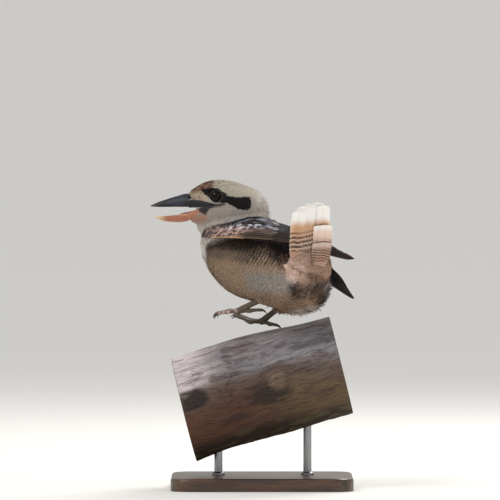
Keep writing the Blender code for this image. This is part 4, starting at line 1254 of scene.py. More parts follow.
@dataclass(frozen=True)
class LongFeathers:
    """A row of long feathers: midlines, the ways across and out, half widths, and their make."""

    middle: Array
    across: Array
    out: Array
    half: Array
    camber: float
    thick: float
    columns: int
    along: Array

    def places(self) -> Array:
        """Places across, from -1 to 1 over the top and back beneath, for each point of a ring."""
        a = np.linspace(-1.0, 1.0, self.columns)
        return np.concatenate([a, a[-2:0:-1]])

    def rings(self) -> Array:
        """Closed rings round the feathers: over the top from edge to edge, and back beneath.

        A ring's point at a from -1 to 1 is the midline's point plus a times the half width
        across plus camber times 1 - a^2 times the half width out, less the thickness times the
        root of 1 - a^2 for the lower face.
        """
        a = np.linspace(-1.0, 1.0, self.columns)
        half, out = self.half[..., None, None], self.out[:, :, None]
        top = self.middle[:, :, None] + self.across[:, :, None] * (a[:, None] * half)
        top = top + out * ((self.camber * (1 - a**2))[:, None] * half)
        low = top - out * (self.thick * np.sqrt(np.clip(1 - a**2, 0, 1)))[:, None]
        return np.concatenate([top, low[:, :, -2:0:-1]], axis=2)

    def put(self, name: str, finish: Material, ground: Array, fringe: Array, edging: float, slot: str,
            *nodes: str) -> None:
        """Makes the piece, each feather a closed body with its own strip of the bake map.

        Args:
            name: The piece's name.
            finish: Its material.
            ground: The colour of each point.
            fringe: The colour of each point's fringe.
            edging: How strong the fringe is.
            slot: The record's material slot.
            nodes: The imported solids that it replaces.
        """
        rings, a, s = self.rings(), self.places(), self.along
        shape = count, rows, around = rings.shape[:3]
        _, corners, sizes = joined(rings[:1])
        corners, sizes = repeated(corners, sizes, rows * around, count)
        chance = np.random.default_rng(count + rows).random(count)
        strip = np.where(np.arange(around) >= self.columns, 0.5, 0.0) + 0.235 * (1 + a) + 0.01
        strips = (np.arange(count)[:, None, None] + spread(strip, shape)) / count
        places = np.stack([strips, spread(0.01 + 0.98 * s[:, None], shape)], -1).reshape(-1, 2)
        marks = {"ground": ground, "fringe": fringe, "vane": vane_marks(a, s, chance, shape),
                 "bars": spread([0.0, 0.0, edging], rings.shape)}
        obj = put_mesh(name, rings.reshape(-1, 3), corners, sizes, finish, marks, None, places)
        obj.data.set_sharp_from_angle(angle=math.radians(50))
        dressed(obj, slot, *nodes)


# Wings: knots along the body, from the wrist back to the tip: ahead, to the side, above.
WING_LOWER = {
    Side.LEFT: knots(
        0.0520, 0.0412, 0.0252, 0.0250, 0.0465, 0.0268, -0.0125, 0.0460, 0.0252, -0.0450, 0.0362,
        0.0215, -0.0740, 0.0235, 0.0160, -0.1060, 0.0030, 0.0085, -0.1275, -0.0030, 0.0048),
    Side.RIGHT: knots(
        0.0520, 0.0410, 0.0220, 0.0260, 0.0475, 0.0100, -0.0120, 0.0508, -0.0040, -0.0450, 0.0460,
        -0.0205, -0.0720, 0.0385, -0.0318, -0.0965, 0.0305, -0.0378, -0.1150, 0.0225, -0.0385)}
WING_UPPER = {
    Side.LEFT: knots(
        0.0520, 0.0370, 0.0360, 0.0250, 0.0350, 0.0400, -0.0125, 0.0140, 0.0455, -0.0450, 0.0050,
        0.0370, -0.0740, 0.0020, 0.0270, -0.1060, -0.0030, 0.0145, -0.1275, -0.0045, 0.0068),
    Side.RIGHT: knots(
        0.0520, 0.0370, 0.0350, 0.0260, 0.0360, 0.0370, -0.0120, 0.0205, 0.0372, -0.0450, 0.0262,
        0.0185, -0.0720, 0.0250, 0.0, -0.0965, 0.0240, -0.0210, -0.1150, 0.0215, -0.0370)}
WING_KNOTS = (0.0, 0.15, 0.36, 0.54, 0.70, 0.88, 1.0)
WING_CURVE_RADIUS = 0.055


@dataclass(frozen=True)
class WingTier:
    """A tier of wing feathers: ends of the lowest and the highest, width, heights, fringes."""

    name: str
    count: int
    lowest: Pairs
    highest: Pairs
    half_width: float
    lift: tuple[float, float]
    edging: float
    step: float = 0.0
    shingled: float = 1.0


TIERS = (
    WingTier("primaries", 9, ((0.50, 0.14), (1.000, 0.45)), ((0.46, 0.48), (0.865, 0.80)),
             0.0040, (-0.0004, 0.0), 0.15, 0.00042, 0.0),
    WingTier("secondaries", 12, ((0.36, 0.08), (0.810, 0.20)), ((0.30, 0.92), (0.640, 0.90)),
             0.0048, (0.0002, 0.0040), 0.15),
    WingTier("greater_coverts", 11, ((0.20, 0.06), (0.560, 0.09)), ((0.22, 0.74), (0.500, 0.76)),
             0.0042, (0.0010, 0.0046), 0.35),
    WingTier("scapulars", 8, ((0.12, 0.60), (0.500, 0.62)), ((0.10, 0.91), (0.400, 0.93)),
             0.0044, (0.0014, 0.0056), 0.2))


@dataclass(frozen=True)
class Wing:
    """A folded wing: a core, rows of small coverts, and tiers of long feathers."""

    side: Side
    core_shares: tuple[float, ...] = (0.0, 0.12, 0.30, 0.48, 0.60)
    core_thick: tuple[float, ...] = (0.0018, 0.0050, 0.0045, 0.0028, 0.0010)
    vane_thick: float = 0.0003
    lap: float = 0.0007
    covert_lines: int = 19
    coverts_in_line: int = 17

    def sheet(self, back: Any, rise: Any) -> Array:
        """A place on the folded wing: back runs from wrist to tip, rise from low to high edge.

        It is the straight line from the lower to the upper edge curve, arched outwards by
        height^2 / 8R times 4 rise (1 - rise).
        """
        back, rise = np.broadcast_arrays(np.asarray(back, float), np.asarray(rise, float))
        low, high = (through(WING_KNOTS, edge[self.side], back) for edge in (WING_LOWER, WING_UPPER))
        arch = np.linalg.norm(high - low, axis=-1) ** 2 / (8 * WING_CURVE_RADIUS)
        swell = arch * 4 * rise * (1 - rise)
        outward = unit(np.cross([1.0, 0.0, 0.0], unit(high - low)))
        outward *= np.sign(outward[..., 1:2])
        place = lerp(low, high, rise) + swell[..., None] * outward
        return bird(place[..., 0], -self.side.sign * place[..., 1], place[..., 2])

    def ways(self, back: Any, rise: Any) -> tuple[Array, Array]:
        """Directions at a place on the wing: from low edge to high, and out of the sheet."""
        step = 0.004
        along = self.sheet(back + step, rise) - self.sheet(back - step, rise)
        across = self.sheet(back, rise + step) - self.sheet(back, rise - step)
        return unit(across), unit(np.cross(across, along)) * self.side.sign

    def colour(self, back: Array, rise: Array, chance: Array) -> Array:
        """Wing colours: dark brown above and behind, pinkish brown along the middle, pale blue
        spots between, speckled at the wrist, and a buff strip under it.

        Args:
            back: Places from wrist to tip.
            rise: Places from low edge to high.
            chance: A number from 0 to 1 for each feather.

        Returns:
            Colours.
        """
        wrist = window((back, 0.24, 0.12), (rise, 0.02, 0.10))
        band = window((back, 0.08, 0.20), (rise, 0.06, 0.16), (back, 0.60, 0.46), (rise, 0.70, 0.52))
        blue = window((back, 0.17, 0.27), (back, 0.62, 0.50), (rise, 0.30, 0.44), (rise, 0.84, 0.70))
        glint = smooth(chance, 0.50, 0.62)
        wide = 0.022 + 0.093 * smooth(back, 0.40, 0.26)
        speckled = layered((54, 43, 42), ((140, 118, 114), smooth(chance, 0.40, 0.80)))
        pinkish = layered((92, 72, 68), ((178, 150, 140), smooth(chance, 0.2, 0.8)))
        return layered(
            (50, 40, 38), (speckled, wrist * 0.9),
            (pinkish, band * (0.3 + 0.7 * smooth(back, 0.42, 0.28))),
            (layered((46, 41, 46), ((196, 206, 222), glint)), blue * (0.45 + 0.55 * glint)),
            ((24, 19, 19), smooth(back, 0.045, 0.010) * 0.9),
            ((44, 35, 34), smooth(rise, 0.84, 0.93) * 0.85),
            ((198, 158, 122), window((rise / wide, 1.0, 0.5), (back, 0.80, 0.70)) * 0.95))

    def tall(self, back: Array) -> Array:
        """How much of the wing's height the arm takes: it is rounded off at the wrist."""
        return 0.35 + 0.60 * np.sqrt(np.clip(1 - (1 - np.clip(back / 0.10, 0, 1)) ** 2, 0.02, 1))

    def core(self, finish: Material) -> None:
        """The arm under the feathers: a thin pad along the sheet.

        A ring's point is the sheet at rise 1/2 + half the height times cos v, lifted by half
        the thickness times sin v.
        """
        back, v = 0.006 + 0.594 * np.linspace(0, 1, 40)[:, None], angles(36)
        rise = 0.5 + 0.5 * self.tall(back) * np.cos(v)
        lift = 0.5 * through(self.core_shares, self.core_thick, back) * np.sin(v)
        rings = self.sheet(back, rise) + lift[..., None] * self.ways(back, rise)[1]
        # Painted shade: the arm takes the wing's colours at 0.7, darker where it shows between the
        # feathers.
        ground = self.colour(back, rise, np.zeros(rise.shape)).reshape(-1, 3) * 0.7
        name = self.side.value
        turned(f"wing_core_{name}", [rings], finish, ground, "brown_plumage", f"wing_{name}")

    def tier(self, tier: WingTier, finish: Material) -> None:
        """One tier of overlapping feathers, each one's low edge over the next lower one.

        Args:
            tier: Its sizes.
            finish: Its material.
        """
        s, count = np.linspace(0.0, 1.0, 16), tier.count
        share = np.linspace(0.0, 1.0, count)[:, None]
        ends = lerp(np.array(tier.lowest), np.array(tier.highest), share)
        rng = np.random.default_rng(SEED + count)
        ends[:, 1, 0] += rng.uniform(-0.008, 0.008, count)
        back, rise = np.moveaxis(lerp(ends[:, :1], ends[:, 1:], s), -1, 0)
        across, out = self.ways(back, rise)
        height = np.linalg.norm(self.sheet(back, 1.0) - self.sheet(back, 0.0), axis=-1)
        fan = np.abs(np.array(tier.highest) - np.array(tier.lowest))[:, 1]
        pitch = height * between(*fan, s) / (count - 1)
        tilt = np.clip(self.lap / pitch, 0.0, 0.40) * tier.shingled * np.clip(3 * s, 0, 1)
        order = (np.arange(count) - (count - 1) / 2)[:, None]
        lift = between(*tier.lift, 1 - (1 - s) ** 2) + order * tier.step * np.clip(2.5 * s, 0.25, 1)
        shape = through([0, 0.25, 0.5, 0.75, 0.90, 0.97, 1], [0.55, 0.90, 1, 1, 0.86, 0.58, 0.12], s)
        half, tilt = spread(tier.half_width * shape, back.shape), tilt[..., None]
        made = LongFeathers(self.sheet(back, rise) + lift[..., None] * out, unit(across - tilt * out),
                            unit(out + tilt * across), half, 0.10, self.vane_thick, 7, s)
        a = made.places()
        rise = rise[..., None] + a * half[..., None] / np.maximum(height, 1e-4)[..., None]
        back = spread(back[..., None], rise.shape)
        spots = np.stack([back * 0.110, rise * 0.060, np.zeros(rise.shape)], axis=-1)
        luck = 0.80 * lattice_noise(spots, 0.0030, 57) + 0.20 * rng.random((count, 1, 1))
        low = smooth(share[..., None], 0.45, 0.05)
        ground = self.tier_colour(tier.name, self.colour(back, rise, luck), a, s[:, None], low)
        made.put(f"{tier.name}_{self.side.value}", finish, ground,
                 np.minimum(ground * 2.2 + 0.01, 0.8), tier.edging, "brown_plumage")

    def tier_colour(self, name: str, ground: Array, a: Array, s: Array, low: Array) -> Array:
        """The colours that a tier adds to the wing's own: dark flight feathers whose lowest ones
        have a buff lower edge, and a darker shaft.

        Args:
            name: The tier.
            ground: Its colours so far.
            a: Place across each feather.
            s: Place along it.
            low: 1 for the tier's lowest feathers, 0 for the others.

        Returns:
            Colours.
        """
        dark, first, far = (22, 17, 19), name == "primaries", self.side is Side.RIGHT
        edge = window((-a, 0.62, 0.95), (s, 0.10, 0.4))
        flight = (
            (dark, 0.90), ((168, 132, 102), edge * (0.04 + (0.04 if first else 0.12) * low)),
            ((176, 138, 108), window((a, 0.88, 0.98), (s, 0.5, 0.8)) * 0.35 * first),
            ((150, 140, 136), window((s, 0.90, 1.0), (np.abs(a), 0.5, 0.95)) * 0.5 * far),
            ((30, 34, 46), 0.5 * (first and far)))
        covert = ((dark, smooth(a, -0.1, 0.7) * 0.55),
                  ((20, 16, 16), low * smooth(s, 0.2, 0.5) * 0.85),
                  ((140, 114, 98), edge * (0.22 + 0.10 * low)))
        layers = {"greater_coverts": covert,
                  "scapulars": [((44, 36, 37), smooth(a, -0.9, -0.2) * 0.94)]}.get(name, flight)
        return layered(ground, *layers, ((18, 14, 13), np.clip(1 - np.abs(a) / 0.14, 0, 1) * 0.45))

    def small_coverts(self, finish: Material) -> None:
        """Rows of short round feathers over the arm, each row lapping the next one back.

        Args:
            finish: Their material.
        """
        rng, s = np.random.default_rng(SEED + 77), np.linspace(0, 1, 6)
        lines, steps = self.covert_lines, self.coverts_in_line
        j, i = np.divmod(np.arange(lines * steps), steps)
        rise = (j + 0.5) / lines * 0.94 + 0.03 + rng.normal(0, 0.008, j.size)
        front = 0.004 + 0.41 * ((i + 0.5 * (j % 2)) / steps) ** 1.1 + rng.normal(0, 0.003, j.size)
        order = np.argsort(-front)
        rise, front = rise[order], np.clip(front[order], 0.004, None)
        rise = 0.5 + (rise - 0.5) * self.tall(front)
        length = 0.030 + 0.030 * smooth(front, 0.0, 0.25)
        back, high = front[:, None] + length[:, None] * s, rise[:, None]
        across, out = self.ways(back, high)
        v = np.clip((high - 0.5) / (0.5 * 0.95), -0.98, 0.98)
        pad = 0.5 * through(self.core_shares, self.core_thick, np.clip(back, 0, 0.6))
        lift = pad * np.sqrt(1 - v**2) + 0.0002 + 0.0011 * s + 0.0016 * smooth(back, 0.16, 0.30)
        lift = lift + rng.uniform(0, 0.0003, len(back))[:, None]
        shape = np.interp(s, [0, 0.35, 0.75, 0.92, 1.0], [0.5, 0.95, 1.0, 0.75, 0.30])
        half = (0.0021 + 0.0012 * smooth(front, 0.0, 0.2))[:, None] * shape
        made = LongFeathers(self.sheet(back, high) + lift[..., None] * out, across, out, half, 0.16,
                            self.vane_thick, 5, s)
        ground = self.colour(front + 0.7 * length, rise, rng.random(len(front)))
        ground = (ground * rng.uniform(0.85, 1.15, (len(front), 1)))[:, None, None]
        shaft = np.clip(1 - np.abs(made.places()) / 0.2, 0, 1)[:, None]
        ground = ground * (1 - 0.3 * shaft) * (0.55 + 0.45 * smooth(s, 0.25, 0.75))[:, None, None]
        made.put(f"small_coverts_{self.side.value}", finish, ground,
                 np.minimum(ground * 1.9 + 0.008, 0.85), 0.7, "brown_plumage")

    def build(self, finish: Material, skin: Material) -> None:
        """The whole wing."""
        self.core(skin)
        self.small_coverts(finish)
        for tier in TIERS:
            self.tier(tier, finish)


@dataclass(frozen=True)
class Tail:
    """Twelve tail feathers in layers, raised and swung to the left, with coverts at the root.

    Each feather has a length, a place beside the middle line, and a layer.
    """

    FEATHERS: ClassVar[dict[Side, Array]] = {
        Side.LEFT: knots(
            0.1140, 0.0160, 0, 0.1165, 0.0131, 1, 0.1205, 0.0102, 2, 0.121, 0.0073, 3,
            0.122, 0.0044, 4, 0.122, 0.0015, 6),
        Side.RIGHT: knots(
            0.060, 0.0150, 0, 0.0575, 0.0092, 1, 0.0885, 0.0150, 2, 0.0865, 0.0096, 3,
            0.1195, 0.0122, 5, 0.122, 0.0050, 7)}
    CONE: ClassVar[tuple[tuple[float, ...], ...]] = (
        (-0.0160, 0.0100, 0.0110, 0.0050), (-0.0040, 0.0200, 0.0140, 0.0080),
        (0.0120, 0.0245, 0.0120, 0.0075), (0.0270, 0.0225, 0.0085, 0.0055),
        (0.0380, 0.0165, 0.0056, 0.0040), (0.0430, 0.0100, 0.0036, 0.0026))
    half_width: float = 0.0075
    layer_step: float = 0.00085
    camber: float = 0.04
    thick: float = 0.00035
    columns: int = 9
    bar_start: float = 0.0515
    bar_step: float = 0.0080

    def cone(self) -> Array:
        """Rings of the cone of covering feathers: half ellipses below and above.

        The lower right of it is drawn back along the tail, so that the cone ends in a long
        lobe on the bird's left and a short one on its right.
        """
        table, v = np.array(self.CONE), angles(40)
        start, end = table[[0, -1], 0]
        at, wide, low, high = through(table[:, 0], table, np.linspace(start, end, 24)).T[..., None]
        short = window((np.cos(v), -0.15, 0.35), (np.sin(v), -0.2, 0.3))
        place = start + (at - start) * (1 - 0.36 * short)
        deep = np.where(np.sin(v) > 0, low, high) * np.sin(v)
        wide = (wide * np.cos(v))[..., None] * TAIL_ACROSS
        return TAIL_ROOT + place[..., None] * TAIL_WAY + wide + deep[..., None] * TAIL_UNDER

    def feather_colour(self, place: Array, a: Array, chance: Array, under: Array, length: Array,
                       outward: Array) -> Array:
        """Colours of tail feathers.

        Args:
            place: How far out each point is, in metres.
            a: Place across the feather, towards the bird's right.
            chance: A number from 0 to 1 for each feather.
            under: 1 on the lower face, 0 on the rufous upper one.
            length: The feather's length: short ones are still growing.
            outward: Place across the feather, towards its own outer side.

        Returns:
            White tips, tan below them that is partly the feathers' own colour and partly painted
            shade, dark bars with buff between, checked at the outer edge.
            Growing feathers are pale pinkish with thin bars.
        """
        full, shortest = smooth(length, 0.100, 0.108), smooth(length, 0.075, 0.065)
        # Tan under the white tips, darker further in: partly the feathers' own colour, partly painted
        # shade below the tips.
        tan_and_shade = layered((208, 162, 122), ((228, 196, 166), smooth(outward, 0.4, 0.9)),
                      ((186, 138, 108), smooth(place, 0.086, 0.074) * 0.7))
        young = layered((200, 164, 144), ((238, 212, 196), smooth(place, 0.050, 0.076)),
                        ((182, 146, 128), shortest))
        white = smooth(place + 0.003 * (chance - 0.5) + 0.002 * outward**2, 0.086, 0.1035) * full
        top = smooth(place, length - 0.013, length - 0.002) * (1 - full)
        wobble = 0.0007 * np.sin(4 * a + 9 * chance) + 0.0020 * smooth(outward, 0.2, 1.0)
        turn = 2 * math.pi * (place + wobble - self.bar_start) / self.bar_step
        bar = smooth(np.cos(turn) - 0.45 * smooth(place, 0.060, 0.076), -0.05, 0.45)
        zone = window((place, 0.040, 0.046), (place, 0.084, 0.078)) * full
        faint = 1 - 0.5 * window((place, 0.070, 0.078), (outward, 0.6, -0.2))
        pale = smooth(np.cos(turn + 2.6), 0.55, 0.95) * zone * 0.8
        fine = smooth(np.cos(2 * math.pi * (place + wobble) / 0.0046), -0.05, 0.55)
        fine = fine * window((place, 0.024, 0.028), (place, length - 0.007, length - 0.013))
        checks = window((np.cos(2 * math.pi * place / 0.0052), -0.2, 0.3), (outward, 0.72, 0.9),
                        (place, 0.052, 0.046))
        fine = np.maximum(fine * (0.95 - 0.5 * smooth(place, 0.048, 0.056)), checks)
        fine = fine * smooth(place, 0.066, 0.062) * (1 - full)
        return layered(
            (160, 104, 70), ((186, 150, 130), under),
            (tan_and_shade, smooth(place, 0.056, 0.074) * full),
            (young, (1 - full) * smooth(place, 0.020, 0.040)),
            ((254, 252, 249), np.maximum(white, top * (0.9 - 0.6 * shortest))),
            ((236, 220, 200), pale * (0.35 + 0.6 * smooth(outward, 0.5, 0.9))),
            ((44, 28, 22), np.clip(bar * zone * faint + fine, 0, 1) * 0.94))

    def build(self, finish: Material) -> None:
        """The tail feathers, as one piece.

        Args:
            finish: Their material.
        """
        s = np.concatenate([np.linspace(0, 0.9, 58), np.linspace(0.9, 1.0, 15)[1:]])
        shape = through([0, 0.18, 0.36, 0.62, 0.90, 0.970, 0.992, 1],
                        [0.45, 0.85, 0.94, 0.97, 0.98, 0.90, 0.66, 0.20], s)
        length, home, layer = np.concatenate([self.FEATHERS[side] for side in Side]).T[..., None]
        sign = np.repeat([side.sign for side in Side], 6)[:, None]
        chance = np.random.default_rng(SEED + 5).random((len(length), 1, 1))
        place = length * s
        fan = through([0.0, 0.035, 0.070, 0.124], [0.42, 0.93, 1.0, 0.87], place) * sign * home
        under = (3.5 - layer) * self.layer_step * np.clip(4 * s, 0.35, 1)
        middle = TAIL_ROOT + place[..., None] * TAIL_WAY + fan[..., None] * TAIL_ACROSS
        middle = middle + under[..., None] * TAIL_UNDER
        made = LongFeathers(
            middle, spread(TAIL_ACROSS, middle.shape), spread(TAIL_UNDER, middle.shape),
            spread(self.half_width * shape, place.shape), self.camber, self.thick, self.columns, s)
        a, out = made.places(), (made.rings() - TAIL_ROOT) @ TAIL_WAY
        below = np.arange(len(a)) < self.columns
        ground = self.feather_colour(out, a, chance, below, length[..., None], sign[..., None] * a)
        shaft = np.clip(1 - np.abs(a) / 0.13, 0, 1)
        ground = lerp(ground, ground * tone((232, 216, 200)), shaft * 0.3)
        fringe = lerp(ground, tone((252, 250, 246)), 0.25)
        made.put("tail_feathers", finish, ground, fringe, 0.25, "barred_plumage", "tail")


@dataclass(frozen=True)
class Bill:
    """Both mandibles and the tongue, from the stations that the solids use.

    A station is a place along X, the heights of the top and the low edge there, and the half
    width. ROOT and JAW are the lower and upper edges of the horn on the cheek.
    """

    UPPER: ClassVar[tuple[tuple[float, ...], ...]] = (
        (-0.1231, 0.3104, 0.3094, 0.0006), (-0.1170, 0.3133, 0.3085, 0.0030),
        (-0.1060, 0.3172, 0.3078, 0.0058), (-0.0940, 0.3210, 0.3075, 0.0085),
        (-0.0820, 0.3238, 0.3074, 0.0118), (-0.0720, 0.3215, 0.3078, 0.0158),
        (-0.0640, 0.3160, 0.3088, 0.0176), (-0.0580, 0.3128, 0.3102, 0.0150))
    LOWER: ClassVar[tuple[tuple[float, ...], ...]] = (
        (-0.1191, 0.2984, 0.2974, 0.0006), (-0.1110, 0.2993, 0.2942, 0.0034),
        (-0.0990, 0.3008, 0.2923, 0.0066), (-0.0860, 0.3028, 0.2924, 0.0098),
        (-0.0760, 0.3046, 0.2955, 0.0134), (-0.0665, 0.3064, 0.2998, 0.0186),
        (-0.0600, 0.3072, 0.3030, 0.0165))
    ROOT: ClassVar[tuple[Pairs, Pairs]] = (
        ((-0.0805, 0.3082), (-0.0720, 0.3086), (-0.0630, 0.3092), (-0.0520, 0.3108)),
        ((-0.0805, 0.3222), (-0.0745, 0.3176), (-0.0650, 0.3160), (-0.0520, 0.3122)))
    JAW: ClassVar[tuple[Pairs, Pairs]] = (
        ((-0.0820, 0.2936), (-0.0790, 0.2955), (-0.0750, 0.2990), (-0.0685, 0.3056)),
        ((-0.0820, 0.3028), (-0.0775, 0.3042), (-0.0735, 0.3054), (-0.0685, 0.3064)))
    nostril: tuple[float, float] = (-0.0775, 0.3170)
    nostril_slope: float = 0.35
    nostril_deep: float = 0.0011
    grain: tuple[float, float, float] = (0.15, 1.0, 1.0)

    def rings(self, stations: Sequence[Sequence[float]], upper: bool, rows: int, around: int) -> Array:
        """Rings of one mandible: a rounded ridge on one side, a shallow hollow face on the other.

        Across is the half width times cos v to the power 0.85, and the height is the ridge's
        or the cutting face's depth times sin v, either side of the level of the cutting edge.

        Args:
            stations: Places along it.
            upper: Whether it is the upper one.
            rows: How many rings.
            around: Points on a ring.

        Returns:
            Rings of points.
        """
        table, v, way = np.array(stations), angles(around), 1.0 if upper else -1.0
        start, end = table[[0, -1], 0]
        at = start + (end - start) * np.linspace(0.0, 1.0, rows) ** 1.15
        x, top, low, half = through(table[:, 0], table, at).T[..., None]
        wide, tall = np.cos(v), np.sin(v)
        level = low + (top - low) * (0.22 if upper else 0.80)
        hollow = (way * tall <= 0) * tall**2 * np.minimum(half * 0.20, 0.0016)
        z = level + np.where(tall > 0, top - level, level - low) * tall + way * hollow
        y = half * np.sign(wide) * np.abs(wide) ** 0.85
        if upper:
            ahead, over = x - self.nostril[0], z - self.nostril[1]
            far = (ahead / 0.0030) ** 2 + ((over - self.nostril_slope * ahead) / 0.0010) ** 2
            y = y - np.sign(y) * self.nostril_deep * np.exp(-far)
        return np.stack([spread(x, y.shape), HEAD_PLANE_Y + y, z], axis=-1)

    def nostril_slit_and_painted_glint(self, points: Array, colour: Any) -> Array:
        """The dark slit of the nostril with a painted highlight, a pale glint, over it, each a bell of
        the distance.
        """
        x, z = points[:, 0] - self.nostril[0], points[:, 2] - self.nostril[1]
        beside = np.abs(points[:, 1] - HEAD_PLANE_Y) > 0.003
        over = z - self.nostril_slope * x
        # Painted highlight: the pale glint over the nostril.
        glint = ((x + 0.0006) / 0.0026) ** 2 + ((over - 0.0007) / 0.0011) ** 2
        slit = (x / 0.0026) ** 2 + ((over + 0.0006) / 0.0006) ** 2
        return layered(colour, ((176, 176, 178), np.exp(-1.2 * glint) * beside * 0.6),
                       ((12, 10, 10), np.exp(-slit) * beside))

    def build(self, outer: Surface) -> None:
        """Upper and lower mandible, their roots on the cheeks, and the tongue.

        Args:
            outer: The skin that the roots lie on.
        """
        rings = self.rings(self.UPPER, True, 110, 64)
        flat = rings.reshape(-1, 3)
        x, y, z = flat.T
        streak = lattice_noise(flat * [0.12, 1, 1], 0.0007, 61)
        # Painted highlight: a pale bluish streaked band along the side of the upper bill, fading
        # before its root.
        sheen = window((z, 0.3085, 0.3125), (x, -0.115, -0.095), (x, -0.0795, -0.0900),
                       (np.abs(y - HEAD_PLANE_Y), 0.001, 0.005))
        colour = layered(
            (28, 29, 35), ((58, 64, 80), sheen * (0.30 + 0.4 * streak)),
            ((96, 88, 86), smooth(x, -0.110, -0.1225) * 0.55),
            ((150, 140, 128), window((z, 0.3092, 0.3080), (x, -0.098, -0.080)) * 0.35))
        horn = GroundFinish("dark_bill_horn", 0.48, 700.0, 0.16, 0.12, 0.0002, self.grain, 0.03, 0.22)
        horn, colour = horn.material(), self.nostril_slit_and_painted_glint(flat, colour)
        turned("bill_upper_horn", [rings], horn, colour, "dark_horn", "bill_upper")
        rings = self.rings(self.LOWER, False, 100, 56)
        flat = rings.reshape(-1, 3)
        x, _, z = flat.T
        streak = lattice_noise(flat * [0.12, 1, 1], 0.0008, 63)
        colour = layered(
            (164, 106, 80), ((156, 94, 68), smooth(streak, 0.4, 0.8) * 0.6),
            ((226, 202, 160), smooth(x, -0.103, -0.1175) * 0.85),
            ((228, 190, 156), window((z, 0.2990, 0.3015), (x, -0.072, -0.085)) * 0.6),
            ((70, 56, 52), window((x, -0.0745, -0.0690), (z, 0.2990, 0.3020)) * 0.8))
        pale = GroundFinish("pale_bill_horn", 0.42, 700.0, 0.10, 0.10, 0.0002, self.grain, 0.1, 0.4)
        pale = pale.material()
        turned("bill_lower_horn", [rings], pale, colour, "pale_horn", "bill_lower")
        for side in Side:
            name, sign = side.value, side.sign
            rings = self.plate(sign, outer, self.ROOT)
            colour = self.nostril_slit_and_painted_glint(rings.reshape(-1, 3), (30, 31, 37))
            turned(f"bill_root_upper_{name}", [rings], horn, colour, "dark_horn")
            rings = self.plate(sign, outer, self.JAW)
            colour = self.nostril_slit_and_painted_glint(rings.reshape(-1, 3), (172, 114, 88))
            turned(f"bill_root_lower_{name}", [rings], pale, colour, "pale_horn")
        self.tongue()

    def plate(self, sign: float, outer: Surface, edges: tuple[Pairs, Pairs]) -> Array:
        """The horn that runs back over the cheek, as a thin shell on the skin.

        At s along and t up, x and z lie between a low and a high curve, y is where a line
        square to the head meets the skin, and the shell stands off by a dome of
        4t(1 - t) times 4s(1 - s), to a power, less a little so that its rim tucks in.

        Args:
            sign: -1 for the bird's left cheek, 1 for its right.
            outer: The skin.
            edges: X and Z of places along the lower edge, and along the upper one.

        Returns:
            Rings of points.
        """
        s, t = np.linspace(0, 1, 60)[:, None], np.linspace(0, 1, 26)
        low, high = (through(np.linspace(0, 1, len(edge)), edge, s) for edge in edges)
        x, z = np.moveaxis(lerp(low, high, t), -1, 0)
        asked = np.stack([x, np.full(x.shape, HEAD_PLANE_Y + sign * 0.06), z], -1).reshape(-1, 3)
        hits = [outer.tree.ray_cast(Vector(p), Vector((0.0, -sign, 0.0)))[0] for p in asked]
        missed = HEAD_PLANE_Y + sign * 0.012
        y = np.array([missed if hit is None else hit[1] for hit in hits]).reshape(x.shape)
        dome = (4 * t * (1 - t)) ** 0.5 * np.minimum(1, 6 * (1 - s)) ** 0.5
        front = np.stack([x, y + sign * (0.0012 * dome - 0.0008), z], axis=-1)
        return np.concatenate([front, (front - [0.0, sign * 0.0012, 0.0])[:, ::-1]], axis=1)

    def tongue(self) -> None:
        """A short flat tongue: ellipses that grow as the root of the distance from its tip."""
        t, v = np.linspace(0.0, 1.0, 24)[:, None], angles(24)
        y = HEAD_PLANE_Y + (0.0010 + 0.0026 * np.sqrt(t)) * np.cos(v)
        z = 0.3010 + 0.0032 * t + 0.0008 * np.minimum(1, 0.3 + 3 * t) * np.sin(v)
        rings = np.stack([spread(-0.0905 + 0.016 * t, y.shape), y, z], axis=-1)
        finish = GroundFinish("tongue_flesh", 0.35, 900.0, 0.15, 0.2).material()
        turned("tongue_flesh", [rings], finish, tone((176, 104, 88)), "pale_horn", "tongue")


